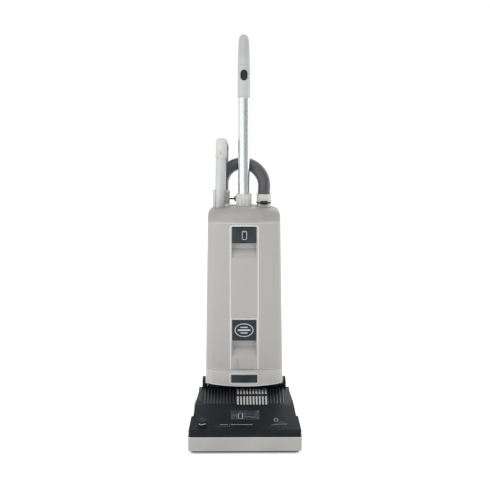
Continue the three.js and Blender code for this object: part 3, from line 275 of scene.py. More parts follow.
@dataclass(frozen=True)
class MouldedPlastic(Finish):
    """Injection-moulded plastic: a fine spark-eroded grain, faint flow mottling and rubbed edges."""

    grain: float = 1500.0
    relief: float = 0.16
    mottle: float = 0.07
    rub: float = 1.18
    gloss: float = 0.5

    def dress(self, bench: ShaderBench) -> None:
        """Sets the colour, roughness and grain."""
        flow = bench.add("ShaderNodeTexNoise", Vector=bench.place, Scale=9.0, Detail=3.0)
        body = bench.blend(flow, shaded(self.colour, 1 - self.mottle), shaded(self.colour, 1 + self.mottle))
        edge = bench.add("ShaderNodeNewGeometry", out="Pointiness")
        worn = bench.blend(edge, (0, 0, 0), (1, 1, 1), 0.53, 0.62)
        rubbed = (*shaded(self.colour, self.rub), 1.0)
        mixed = bench.add("ShaderNodeMixRGB", Fac=worn, Color1=body, Color2=rubbed)
        bench.feed("Base Color", mixed)
        handling = bench.add("ShaderNodeTexNoise", Vector=bench.place, Scale=34.0, Detail=4.0)
        bench.feed("Roughness", bench.between(handling, self.roughness - 0.07, self.roughness + 0.07))
        grain = bench.add("ShaderNodeTexVoronoi", Vector=bench.place, Scale=self.grain)
        bench.relief(grain, self.relief, 0.0002)
        bench.surface.inputs["Specular IOR Level"].default_value = self.gloss


@dataclass(frozen=True)
class SatinMetal(Finish):
    """Drawn or turned metal with fine lines along one direction."""

    lines: tuple[float, float, float] = (2600.0, 2600.0, 14.0)
    contrast: float = 0.05

    def dress(self, bench: ShaderBench) -> None:
        """Sets the metal's lines in its colour, roughness and bump."""
        stretched = bench.add("ShaderNodeMapping", Vector=bench.place, Scale=self.lines)
        drawn = bench.add("ShaderNodeTexNoise", Vector=stretched, Scale=1.0, Detail=2.0)
        low, high = shaded(self.colour, 1 - self.contrast), shaded(self.colour, 1 + self.contrast)
        bench.feed("Base Color", bench.blend(drawn, low, high))
        bench.feed("Roughness", bench.between(drawn, self.roughness - 0.05, self.roughness + 0.08))
        bench.surface.inputs["Metallic"].default_value = 1.0
        bench.relief(drawn, 0.05, 0.0001)


@dataclass(frozen=True)
class SoftRubber(Finish):
    """Matt rubber with a dusty bloom."""

    def dress(self, bench: ShaderBench) -> None:
        """Sets the bloom and a fine tooth."""
        bloom = bench.add("ShaderNodeTexNoise", Vector=bench.place, Scale=42.0, Detail=5.0)
        bench.feed("Base Color", bench.blend(bloom, self.colour, shaded(self.colour, 2.0), 0.45, 0.75))
        bench.feed("Roughness", bench.between(bloom, self.roughness - 0.05, self.roughness + 0.08))
        tooth = bench.add("ShaderNodeTexNoise", Vector=bench.place, Scale=2200.0)
        bench.relief(tooth, 0.2, 0.0002)


@dataclass(frozen=True)
class Felted(Finish):
    """Non-woven filter cloth or fleece: matted fibres with a soft sheen."""

    fibre: float = 900.0
    sheen: float = 0.35

    def dress(self, bench: ShaderBench) -> None:
        """Sets the fibres, the soiling and the sheen."""
        fibres = bench.add("ShaderNodeTexNoise", Vector=bench.place, Scale=self.fibre, Detail=6.0,
                           Distortion=1.4)
        patches = bench.add("ShaderNodeTexNoise", Vector=bench.place, Scale=24.0, Detail=3.0)
        tone = bench.blend(fibres, shaded(self.colour, 0.82), self.colour)
        soil = bench.add("ShaderNodeMixRGB", blend_type="MULTIPLY", Fac=0.35, Color1=tone,
                         Color2=bench.blend(patches, (0.82, 0.80, 0.76), (1, 1, 1)))
        bench.feed("Base Color", soil)
        bench.surface.inputs["Roughness"].default_value = self.roughness
        bench.surface.inputs["Sheen Weight"].default_value = self.sheen
        bench.relief(fibres, 0.5, 0.0006)


@dataclass(frozen=True)
class GlossyLens(Finish):
    """A dark smoked window with a hard coat."""

    def dress(self, bench: ShaderBench) -> None:
        """Sets a faint haze under the coat."""
        haze = bench.add("ShaderNodeTexNoise", Vector=bench.place, Scale=60.0, Detail=2.0)
        bench.feed("Base Color", bench.blend(haze, shaded(self.colour, 0.85), shaded(self.colour, 1.2)))
        bench.feed("Roughness", bench.between(haze, self.roughness, self.roughness + 0.06))
        bench.surface.inputs["Coat Weight"].default_value = 0.6


SHELL = MouldedPlastic("shell_grey", (0.325, 0.318, 0.309), 0.42)
# The lower panel has the shell's grey, painted lighter to make up for the weaker light low on the body.
PANEL_PAINTED_LIGHT = MouldedPlastic("panel_grey_painted_light", (0.450, 0.441, 0.428), 0.42)
# The ridges' pale colour is a painted highlight along each ridge and edge, not the shell's own grey.
RIDGE_PAINTED_HIGHLIGHT = MouldedPlastic("shell_ridge_painted_highlight", (0.66, 0.655, 0.635), 0.34, relief=0.05, rub=1.0)
PALE = MouldedPlastic("pale_fittings", (0.58, 0.575, 0.555), 0.42)
BUMPER = MouldedPlastic("bumper_plastic", (0.325, 0.322, 0.305), 0.5, grain=1100.0)
COVER = MouldedPlastic("cover_black", (0.0052, 0.0072, 0.0105), 0.34, grain=1300.0, relief=0.16, rub=1.8,
                       gloss=0.16)
SHEEN = MouldedPlastic("cover_sheen", (0.016, 0.018, 0.022), 0.2, grain=1300.0, relief=0.06, rub=1.6,
                       gloss=0.7)
TRIM = MouldedPlastic("trim_black", (0.010, 0.012, 0.014), 0.4, rub=2.2, gloss=0.3)
SLATE = MouldedPlastic("latch_slate", (0.020, 0.028, 0.032), 0.46, grain=900.0, relief=0.3, rub=1.5,
                       gloss=0.2)
HOSE = MouldedPlastic("hose_vinyl", (0.044, 0.0435, 0.056), 0.30, grain=2400.0, relief=0.08, rub=1.5,
                      gloss=0.9)
GRIP = MouldedPlastic("grip_grey", (0.43, 0.435, 0.44), 0.46, grain=1000.0, relief=0.24)
WAND = MouldedPlastic("wand_grey", (0.50, 0.52, 0.525), 0.16, relief=0.04, gloss=0.75)
# A darker colour that paints the shade on the wand holder's right cheek.
HOLDER_PAINTED_SHADE = MouldedPlastic("holder_painted_shade", (0.24, 0.225, 0.20), 0.5)
PRINT = MouldedPlastic("white_print", (0.62, 0.66, 0.69), 0.5, relief=0.05, rub=1.0)
BADGE = MouldedPlastic("badge_silver", (0.50, 0.54, 0.57), 0.35, relief=0.05, rub=1.0)
DIM_PRINT = MouldedPlastic("dim_print", (0.20, 0.23, 0.26), 0.5, relief=0.05, rub=1.0)
STATUS = MouldedPlastic("status_lamp", (0.05, 0.30, 0.12), 0.2, relief=0.02, rub=1.0)
TUFT = MouldedPlastic("bristle_nylon", (0.025, 0.026, 0.03), 0.45, relief=0.1)
ALUMINIUM = SatinMetal("satin_aluminium", (0.84, 0.855, 0.86), 0.2)
STEEL = SatinMetal("turned_steel", (0.50, 0.51, 0.52), 0.32, lines=(900.0, 900.0, 900.0))
RUBBER = SoftRubber("tyre_rubber", (0.017, 0.017, 0.018), 0.82)
FLEECE = Felted("bag_fleece", (0.70, 0.655, 0.55), 0.95)
WELD = Felted("bag_weld", (0.52, 0.48, 0.40), 0.9, fibre=1300.0, sheen=0.2)
FILTER = Felted("filter_white", (0.90, 0.92, 0.93), 0.9, fibre=1500.0, sheen=0.1)
LENS = GlossyLens("smoked_lens", (0.010, 0.014, 0.019), 0.3)

FINISH_OF_SLOT = {
    "light_grey": SHELL, "pale_grey": PALE, "bumper_grey": BUMPER, "black_shell": COVER, "black_trim": TRIM,
    "slate_plate": SLATE, "hose_grey": HOSE, "rubber": RUBBER, "white_filter": FILTER, "fleece": FLEECE,
    "bristle": TUFT, "aluminium": ALUMINIUM, "steel": STEEL,
}
SLOT_OF_NODE = {row["node"]: row["material_slot"] for row in frame["record"]["subparts"]}
FINISH_OF_NODE = {"indicator_window": LENS, "lower_panel": PANEL_PAINTED_LIGHT, "wand_tube": WAND,
                  "wand_grip": PALE, "grip_lower": GRIP, "grip_upper": GRIP, "height_knob": TRIM,
                  "switch_button": TRIM}
DETAILED = ("hose_arch", "hose_return", "rear_tyre_left", "rear_tyre_right", "brush_bristles",
            "pre_motor_filter", "exhaust_filter", "filter_bag")
BODY_OF_NODE = {
    node: body for body, members in frame["record"]["behaviour"]["bodies"].items() for node in members
}


# ------------------------------------------------------------------------------------ mesh workshop
class Stock:
    """A mesh in the making: operators add shapes to it, and settle() makes it a piece."""

    def __init__(self) -> None:
        """Starts with nothing."""
        self.bm = bmesh.new()

    def take(self, other: bmesh.types.BMesh, matrix: Matrix | None = None) -> None:
        """Adds another mesh to this one, moved by a matrix, and frees it."""
        if matrix is not None:
            bmesh.ops.transform(other, matrix=matrix, verts=other.verts)
        carrier = bpy.data.meshes.new("carrier")
        other.to_mesh(carrier)
        other.free()
        self.bm.from_mesh(carrier)
        bpy.data.meshes.remove(carrier)

    def turn(self, profile: Profile, matrix: Matrix, steps: int = 48, closed: bool = False) -> None:
        """Spins a profile of (radius, height), in millimetres, once round its own upright axis.

        Args:
            profile: The points, from one end to the other.
            matrix: Where the axis stands.
            steps: How many steps the turn has.
            closed: Whether the last point joins the first, as on a ring.
        """
        made = bmesh.new()
        points = [made.verts.new((r * MM, 0.0, h * MM)) for r, h in profile]
        edges = [made.edges.new(pair) for pair in zip(points, points[1:])]
        if closed:
            edges.append(made.edges.new((points[-1], points[0])))
        bmesh.ops.spin(made, geom=points + edges, cent=(0, 0, 0), axis=(0, 0, 1), angle=math.tau,
                       steps=steps, use_merge=True)
        bmesh.ops.remove_doubles(made, verts=made.verts, dist=1e-6)
        bmesh.ops.recalc_face_normals(made, faces=made.faces)
        self.take(made, matrix)

    def block(self, size: Sequence[float], matrix: Matrix, soft: float = 0.4, segments: int = 2) -> None:
        """Adds a block with soft edges, its size in millimetres."""
        made = bmesh.new()
        bmesh.ops.create_cube(made, size=1.0)
        bmesh.ops.scale(made, vec=Vector(size) * MM, verts=made.verts)
        bmesh.ops.bevel(made, geom=made.edges[:], offset=soft * MM, segments=segments, profile=0.5,
                        affect="EDGES", material=-1)
        self.take(made, matrix)

    def sweep(self, path: Sequence[Vector], wide: float, tall: float, *, facing: Vector | None = None,
              sides: int = 8, closed: bool = False, swell: Callable[[int], float] | None = None) -> None:
        """Extrudes an oval section along a path.

        Args:
            path: The places it passes through, in metres.
            wide: The section's width across the path, in millimetres.
            tall: Its height, in millimetres; half of it lies each side of the path.
            facing: The direction that its height points in, or None where that doesn't matter.
            sides: How many sides the section has.
            closed: Whether the path joins up with itself.
            swell: Gives a factor on the section's size at each place, or None.
        """
        made = bmesh.new()
        ring = bmesh.ops.create_circle(made, cap_ends=not closed, segments=sides, radius=0.5)["verts"]
        unit = [vert.co.copy() for vert in ring]
        edges = list(made.edges)
        across = Vector((1.0, 0.0, 0.0))
        count = len(path)
        for number in range(count + (1 if closed else 0)):
            place = path[number % count]
            before = path[(number - 1) % count] if number or closed else place
            after = path[(number + 1) % count] if number + 1 < count or closed else place
            forward = (after - before).normalized()
            if facing is not None:
                across = forward.cross(facing).normalized()
            across = (across - forward * across.dot(forward)).normalized()
            over = across.cross(forward)
            factor = swell(number) if swell else 1.0
            if number:
                ring, edges = self.grown(made, ring, edges)
            for vert, spot in zip(ring, unit):
                vert.co = place + (across * spot.x * wide + over * spot.y * tall) * factor * MM
        if closed:
            bmesh.ops.remove_doubles(made, verts=made.verts, dist=1e-6)
        else:
            bmesh.ops.holes_fill(made, edges=edges, sides=sides)
        bmesh.ops.recalc_face_normals(made, faces=made.faces)
        self.take(made)

    @staticmethod
    def grown(made: bmesh.types.BMesh, ring: list[bmesh.types.BMVert],
              edges: list[bmesh.types.BMEdge]) -> tuple[list[bmesh.types.BMVert], list[bmesh.types.BMEdge]]:
        """Extrudes a ring's edges, and gives the new ring in the same order with its edges."""
        fresh = bmesh.ops.extrude_edge_only(made, edges=edges)["geom"]
        verts = {item for item in fresh if isinstance(item, bmesh.types.BMVert)}
        old = set(ring)
        new_edges = []
        partner = {}
        for vert in verts:
            for edge in vert.link_edges:
                other = edge.other_vert(vert)
                if other in old:
                    partner[other] = vert
                elif edge not in new_edges:
                    new_edges.append(edge)
        return [partner[vert] for vert in ring], new_edges

    def ribs_round(self, radius: float, low: float, high: float, count: int, wide: float,
                   matrix: Matrix) -> None:
        """Sets upright half-round ribs round a cylinder, in millimetres."""
        for k in range(count):
            turn = Matrix.Rotation(math.tau * k / count, 4, "Z")
            ends = [matrix @ turn @ Vector((radius * MM, 0.0, h * MM)) for h in (low, high)]
            self.sweep(ends, wide, wide, sides=6)

    def piece(self, title: str) -> bpy.types.Object:
        """Makes the mesh an object in the scene, and frees the stock."""
        mesh = bpy.data.meshes.new(title)
        self.bm.to_mesh(mesh)
        self.bm.free()
        made = bpy.data.objects.new(title, mesh)
        bpy.context.scene.collection.objects.link(made)
        return made

    def settle(self, title: str, finish: Finish, body: str, *, sharp: float = 35.0,
               bevel: float = 0.0, stands_for: Iterable[str] = ()) -> bpy.types.Object:
        """Makes the mesh a piece that rides on a body.

        Args:
            title: The piece's name.
            finish: Its finish.
            body: The body that carries it.
            sharp: Edges sharper than this angle, in degrees, stay crisp.
            bevel: Width of a soft edge, in millimetres, or 0.
            stands_for: The frame's nodes that it replaces.

        Returns:
            The piece.
        """
        made = self.piece(title)
        return dress(made, finish, body, sharp=sharp, bevel=bevel, stands_for=stands_for)


def dress(piece: bpy.types.Object, finish: Finish, body: str | None, *, sharp: float = 35.0,
          bevel: float = 0.0, stands_for: Iterable[str] = ()) -> bpy.types.Object:
    """Gives a piece its finish, its shading, its soft edges and its place in the machine.

    Args:
        piece: The object.
        finish: Its finish.
        body: The body that carries it, or None where it is blended between two.
        sharp: Edges sharper than this angle, in degrees, stay crisp.
        bevel: Width of a soft edge, in millimetres, or 0.
        stands_for: The frame's nodes that it replaces.

    Returns:
        The same piece.
    """
    mesh = piece.data
    mesh.materials.clear()
    mesh.materials.append(finish.material())
    mesh.shade_smooth()
    mesh.set_sharp_from_angle(angle=math.radians(sharp))
    if bevel:
        soft = piece.modifiers.new("soft_edge", "BEVEL")
        soft.width = bevel * MM
        soft.segments = 2
        soft.limit_method = "ANGLE"
        soft.angle_limit = math.radians(28.0)
        even = piece.modifiers.new("even_shading", "WEIGHTED_NORMAL")
        even.weight = 90
        even.keep_sharp = True
    if body:
        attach(piece, body)
    names = list(stands_for)
    if names:
        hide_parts(*names)
    LOG.info("%s: %d faces on %s", piece.name, len(mesh.polygons), body or "two bodies")
    return piece


def softened(node: str, edge: float = 0.5) -> bpy.types.Object:
    """Stands a soft-edged moulding in the place of a frame node, from a merged copy of its mesh.

    Args:
        node: The node's name.
        edge: The width of its soft edges, in millimetres.

    Returns:
        The piece.
    """
    stock = Stock()
    stock.bm.from_mesh(frame["nodes"][node].data)
    bmesh.ops.remove_doubles(stock.bm, verts=stock.bm.verts, dist=2e-6)
    bmesh.ops.dissolve_limit(stock.bm, angle_limit=math.radians(0.4), verts=stock.bm.verts,
                             edges=stock.bm.edges)
    slot = SLOT_OF_NODE[node]
    finish = FINISH_OF_NODE.get(node, FINISH_OF_SLOT[slot])
    return stock.settle(f"{node}_moulding", finish, BODY_OF_NODE[node], bevel=edge, stands_for=[node])


def screw_head(stock: Stock, matrix: Matrix, radius: float = 3.6) -> None:
    """Adds a domed screw head with a round socket, its radius in millimetres."""
    dome = [(0, 0.3), (radius * 0.42, 0.3), (radius * 0.46, 1.3), (radius * 0.8, 1.1), (radius, 0.5),
            (radius, -0.6), (0, -0.6)]
    stock.turn(dome, matrix, steps=20)


# ------------------------------------------------------------------------------------------- studio
@dataclass
class Studio:
    """Camera, lights and a pale floor."""

    eye: tuple[float, float, float] = (-36.0, -3580.0, 1170.0)
    tilt: float = 9.28
    lens: float = 89.87
    ahead: float = 3400.0
    middle: tuple[float, float, float] = (0.0, 0.0, 0.55)
    floor_half: float = 6.0
    dome: float = 0.88
    floor_glow: float = 0.40

    def camera(self) -> None:
        """Sets the camera in front of the machine, looking slightly down."""
        data = bpy.data.cameras.new("view")
        data.lens = self.lens
        data.sensor_width = 36.0
        data.clip_end = 50.0
        camera = bpy.data.objects.new("view", data)
        camera.location = at(*self.eye)
        aim = math.atan2(-self.eye[0], self.ahead)
        camera.rotation_euler = (math.radians(90.0 - self.tilt), 0.0, -aim)
        bpy.context.scene.collection.objects.link(camera)
        bpy.context.scene.camera = camera

    def lamp(self, name: str, place: Sequence[float], size: tuple[float, float], power: float) -> None:
        """Hangs a soft light, of a width and a height, that faces the machine's middle."""
        data = bpy.data.lights.new(name, "AREA")
        data.shape = "RECTANGLE"
        data.size, data.size_y = size
        data.energy = power
        lamp = bpy.data.objects.new(name, data)
        lamp.location = place
        lamp.rotation_euler = (Vector(self.middle) - Vector(place)).to_track_quat("-Z", "Y").to_euler()
        bpy.context.scene.collection.objects.link(lamp)

    def floor(self) -> None:
        """Lays the pale floor, which glows faintly."""
        made = bmesh.new()
        bmesh.ops.create_grid(made, x_segments=1, y_segments=1, size=self.floor_half)
        stock = Stock()
        stock.take(made)
        floor = stock.piece("floor")
        bench = ShaderBench("floor_white")
        cloud = bench.add("ShaderNodeTexNoise", Vector=bench.place, Scale=3.0)
        bench.feed("Base Color", bench.blend(cloud, (0.90, 0.90, 0.90), (0.93, 0.93, 0.93)))
        bench.surface.inputs["Roughness"].default_value = 0.9
        bench.surface.inputs["Emission Color"].default_value = (1.0, 1.0, 1.0, 1.0)
        bench.surface.inputs["Emission Strength"].default_value = self.floor_glow
        floor.data.materials.append(bench.material)

    def shade(self) -> None:
        """Stands grey cards in front, which show only in glossy surfaces, as the dim side of a room."""
        stock = Stock()
        for angle in (24.0, 64.0):
            turn = Matrix.Rotation(math.radians(angle), 4, "Z") @ Matrix.Translation((0.0, -2.6, 1.1))
            stock.block((1900.0, 12.0, 3400.0), turn, soft=4.0)
        card = stock.piece("shade_card")
        bench = ShaderBench("card_grey")
        cloud = bench.add("ShaderNodeTexNoise", Vector=bench.place, Scale=2.0)
        bench.feed("Base Color", bench.blend(cloud, (0.30, 0.31, 0.32), (0.34, 0.35, 0.36)))
        card.data.materials.append(bench.material)
        card.visible_camera = False
        card.visible_diffuse = False
        card.visible_shadow = False

    def surround(self) -> None:
        """Sets a soft white surround, whose backdrop shows brighter than the light it gives."""
        world = bpy.data.worlds.new("studio")
        world.use_nodes = True
        tree = world.node_tree
        light = tree.nodes["Background"]
        light.inputs["Color"].default_value = (1.0, 1.0, 1.0, 1.0)
        light.inputs["Strength"].default_value = self.dome
        backdrop = tree.nodes.new("ShaderNodeBackground")
        backdrop.inputs["Color"].default_value = (1.0, 1.0, 1.0, 1.0)
        seen = tree.nodes.new("ShaderNodeLightPath")
        mix = tree.nodes.new("ShaderNodeMixShader")
        tree.links.new(seen.outputs["Is Camera Ray"], mix.inputs["Fac"])
        tree.links.new(light.outputs["Background"], mix.inputs[1])
        tree.links.new(backdrop.outputs["Background"], mix.inputs[2])
        tree.links.new(mix.outputs["Shader"], tree.nodes["World Output"].inputs["Surface"])
        bpy.context.scene.world = world

    def build(self) -> None:
        """Makes the whole studio."""
        self.camera()
        self.surround()
        bpy.context.scene.view_settings.view_transform = "Standard"
        self.lamp("key", (-2.4, -1.9, 1.0), (0.3, 2.0), 12.0)
        self.lamp("fill", (2.6, 0.9, 1.0), (0.5, 2.0), 9.0)
        self.lamp("overhead", (-0.4, -1.2, 3.0), (1.6, 1.2), 11.0)
        self.lamp("rim", (0.6, 2.4, 2.4), (1.4, 1.4), 9.0)
        self.shade()
        self.floor()


# -------------------------------------------------------------------------------------------- hose
@dataclass
class StretchHose:
    """The ribbed hose: over the arch, down behind the body, round a low bend and up to the wand."""

    radius: float = 19.2
    valley: float = 0.07
    pitch: float = 4.4
    sides: int = 24
    cuff: tuple[float, float, float] = (60.8, 136.0, 722.0)
    arch_x: float = -2.2
    arch_z: float = 747.0
    arch_r: float = 64.0
    leg_y: float = 182.0
    leg_low: float = 520.0
    bend_r: float = 42.0
    top_r: float = 50.0
    outlet: tuple[float, float] = (198.0, 860.0)
    lap: float = 1.5
    over_length: float = 0.532
    return_length: float = 0.449

    @property
    def leg_x(self) -> float:
        """The width at which the hose hangs."""
        return self.arch_x - self.arch_r

    def over_route(self) -> list[Vector]:
        """Gives the route from the cuff to the lowest point of the bend, in metres."""
        route = [at(*self.cuff)]
        steps = 14
        for i in range(steps + 1):
            angle = math.pi * i / steps
            share = min(1.0, i / steps / 0.62)
            eased = share * share * (3.0 - 2.0 * share)
            y = self.cuff[1] + (self.leg_y - self.cuff[1]) * eased
            x = self.arch_x + self.arch_r * math.cos(angle)
            route.append(at(x, y, self.arch_z + self.arch_r * math.sin(angle)))
        for i in range(1, 6):
            route.append(at(self.leg_x, self.leg_y, self.arch_z - (self.arch_z - self.leg_low) * i / 5))
        for i in range(1, 6):
            angle = math.pi + math.pi / 2 * i / 5
            y = self.leg_y + self.bend_r * (1 + math.cos(angle))
            route.append(at(self.leg_x, y, self.leg_low + self.bend_r * math.sin(angle)))
        return route

    def return_route(self) -> list[Vector]:
        """Gives the route from the lowest point of the bend up to the wand's cuff, in metres."""
        rear_y = self.leg_y + 2 * self.bend_r
        out_y, out_z = self.outlet
        route = []
        for i in range(6):
            angle = math.pi / 2 * (i / 5 - 1)
            y = rear_y - self.bend_r * (1 - math.cos(angle))
            route.append(at(self.leg_x, y, self.leg_low + self.bend_r * math.sin(angle)))
        for i in range(1, 7):
            z = self.leg_low + (out_z - self.top_r - self.leg_low) * i / 6
            route.append(at(self.leg_x, rear_y, z))
        for i in range(1, 7):
            angle = math.pi / 2 * i / 6
            y = rear_y - self.top_r * (1 - math.cos(angle))
            route.append(at(self.leg_x, y, out_z - self.top_r * (1 - math.sin(angle))))
        route.append(at(self.leg_x, out_y, out_z))
        return route

    @staticmethod
    def walked(route: Sequence[Vector], spacing: float) -> list[Vector]:
        """Walks a smooth curve through a route in even steps.

        Args:
            route: The places it passes through.
            spacing: The step, in metres.

        Returns:
            The places met.
        """
        dense: list[Vector] = []
        ends = [route[0] * 2 - route[1], *route, route[-1] * 2 - route[-2]]
        for p0, p1, p2, p3 in zip(ends, ends[1:], ends[2:], ends[3:]):
            for k in range(24):
                t = k / 24
                bend = (2 * p0 - 5 * p1 + 4 * p2 - p3) * t**2 + (3 * p1 - p0 - 3 * p2 + p3) * t**3
                dense.append(0.5 * (2 * p1 + (p2 - p0) * t + bend))
        dense.append(route[-1].copy())
        total = sum((b - a).length for a, b in zip(dense, dense[1:]))
        count = max(2, round(total / spacing))
        step = total / count
        passed, out = 0.0, []
        for start, stop in zip(dense, dense[1:]):
            stretch = (stop - start).length
            while len(out) <= count and len(out) * step <= passed + stretch + 1e-9:
                out.append(start.lerp(stop, (len(out) * step - passed) / stretch))
            passed += stretch
        return out

    def tube(self, title: str, route: Sequence[Vector]) -> bpy.types.Object:
        """Makes one length of ribbed hose along a route."""
        stock = Stock()
        places = self.walked(route, self.pitch * MM / 4)
        waist = (0.0, self.valley / 2, self.valley, self.valley / 2)
        size = 2 * self.radius
        stock.sweep(places, size, size, sides=self.sides, swell=lambda number: 1.0 - waist[number % 4])
        return stock.piece(title)

    def build(self) -> None:
        over, back = self.over_route(), self.return_route()
        lap = OUT_BACK * self.lap * MM
        first = dress(self.tube("hose_over_arch", [*over, over[-1] + lap]), HOSE, "upright",
                      sharp=80, stands_for=["hose_arch"])
        second = dress(self.tube("hose_to_wand", [back[0] - lap, *back]), HOSE, None, sharp=80,
                       stands_for=["hose_return"])
        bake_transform(second)


# ------------------------------------------------------------------------------------------ details
@dataclass
class CoverRibs:
    """The rounded ribs either side of the vent slots on the head's cover."""

    first_slot: float = -19.6
    pitch: float = 9.45
    columns: int = 10
    reach: float = 120.0
    front: float = -40.0
    rear: float = 56.0
    wide: float = 3.4

    def places(self) -> list[float]:
        """Gives the width of each rib's middle line."""
        left = self.first_slot - self.pitch / 2
        right = left + self.columns * self.pitch
        steps = range(12)
        both = [left - k * self.pitch for k in steps] + [right + k * self.pitch for k in steps]
        return [x for x in both if abs(x) < self.reach]

    def build(self) -> None:
        """Makes the ribs."""
        stock = Stock()
        skin = Skin("head_cover")
        for x in self.places():
            line = stepped([(x, self.front), (x, self.rear)], gap=30.0)
            stock.sweep(skin.top(line, proud=0.1), self.wide, 2.4, facing=UP, sides=10)
        stock.settle("cover_ribs", SHEEN, "power_head")


@dataclass
class CoverPrint:
    """The printed symbols, the scale mark and the plain emblem on the head's cover."""

    line: float = 1.3
    thick: float = 0.3

    def draw(self, stock: Stock, skin: Skin, spots: Spots, wide: float | None = None,
             closed: bool = False) -> None:
        """Lays one printed line on the cover."""
        path = skin.top(stepped(spots, closed=closed), proud=0.05)
        stock.sweep(path, wide or self.line, self.thick, facing=UP, sides=6, closed=closed)

    def symbols(self) -> None:
        """Prints the indicator window's symbols."""
        skin = Skin("indicator_window", "head_cover")
        dim = Stock()
        self.draw(dim, skin, [(-39, -107), (-34, -94), (-30, -104), (-27, -90), (-22, -107)])
        self.draw(dim, skin, [(-38, -111), (-22, -111)])
        self.draw(dim, skin, [(1.2, -80), (1.2, -114)], wide=0.9)
        self.draw(dim, skin, [(7, -91.5), (20, -90.5)], wide=1.8)
        self.draw(dim, skin, [(28, -92), (35, -90.5)], wide=1.5)
        dim.settle("dim_symbols", DIM_PRINT, "power_head", sharp=60)
        clear = Stock()
        self.draw(clear, skin, round_rect(-12.6, -100.8, 13.0, 25.0, 3.0, 3), wide=1.5, closed=True)
        self.draw(clear, skin, wave(18.0, -105.5, 25.0, 1.6, 1.0), wide=1.6)
        clear.settle("clear_symbols", PRINT, "power_head", sharp=60)
        lamp = Stock()
        spot = skin.top([(39.5, -80.0)])[0]
        dome = [(0.0, 0.9), (1.1, 0.75), (1.9, 0.2), (1.9, -0.2), (0.0, -0.2)]
        lamp.turn(dome, Matrix.Translation(spot) @ Matrix.Rotation(SLOPE, 4, "X"), steps=16)
        lamp.settle("status_lamp", STATUS, "power_head")

    def marks(self) -> None:
        """Prints the plain stripes, the scale mark by the knob and the emblem."""
        skin = Skin("head_cover")
        bright = Stock()
        self.draw(bright, skin, [(-73.0, -140.3), (-49.0, -140.3)], wide=2.6)
        self.draw(bright, skin, [(-40.5, -140.3), (22.0, -140.3)], wide=2.6)
        self.draw(bright, skin, [(78.0, -143.0), (98.0, -138.5), (123.0, -138.5)], wide=1.5)
        self.draw(bright, skin, arc(92.0, -118.5, 5.2, 8.0, 0.0, 342.0, 18), wide=1.2, closed=True)
        bright.settle("cover_marks", PRINT, "power_head", sharp=60)
        dim = Stock()
        self.draw(dim, skin, [(-88.0, -147.0), (-48.0, -148.0)], wide=1.2)
        self.draw(dim, skin, [(-44.7, -136.5), (-44.7, -150.0)], wide=0.9)
        self.draw(dim, skin, [(98.0, -131.0), (110.0, -127.5), (117.0, -131.5)], wide=1.2)
        dim.settle("cover_faint_marks", DIM_PRINT, "power_head", sharp=60)

    def build(self) -> None:
        """Makes all the print."""
        self.symbols()
        self.marks()


@dataclass
class Dial:
    """The height knob's seat on the cover and the ribs round its edge."""

    x: float = -124.0
    y: float = -135.0
    z: float = 78.644
    radius: float = 14.0
    height: float = 13.0
    ribs: int = 22

    def matrix(self) -> Matrix:
        """Gives the place of the knob's foot, its height square to the slope."""
        return Matrix.Translation(at(self.x, self.y, self.z)) @ Matrix.Rotation(SLOPE, 4, "X")

    def build(self) -> None:
        """Makes the seat ring, the finger ribs and the pointer."""
        seat = Stock()
        r = self.radius
        seat.turn([(r + 1.7, -0.4), (r + 3.4, -0.4), (r + 3.2, 0.7), (r + 2.2, 0.9)], self.matrix(),
                  closed=True)
        seat.settle("knob_seat", SHEEN, "power_head", sharp=50)
        edge = Stock()
        edge.ribs_round(r - 0.7, 1.0, self.height - 1.5, self.ribs, 1.3, self.matrix())
        edge.settle("knob_ribs", TRIM, "knob", sharp=60)
        pointer = Stock()
        foot, tip = (self.matrix() @ Vector((0.0, y, self.height + 2.05)) * MM for y in (-2.0, -10.0))
        pointer.sweep([foot, tip], 1.8, 0.4, facing=UP, sides=6)
        scale = [(11.0 * math.sin(t), -math.sqrt(14.6**2 - (11.0 * math.sin(t)) ** 2), 6.5 + math.sin(3 * t))
                 for t in (math.radians(a) for a in range(-70, 71, 10))]
        pointer.sweep([self.matrix() @ (Vector(spot) * MM) for spot in scale], 1.5, 0.5, facing=OUT_FRONT)
        pointer.settle("knob_pointer", PRINT, "knob", sharp=60)


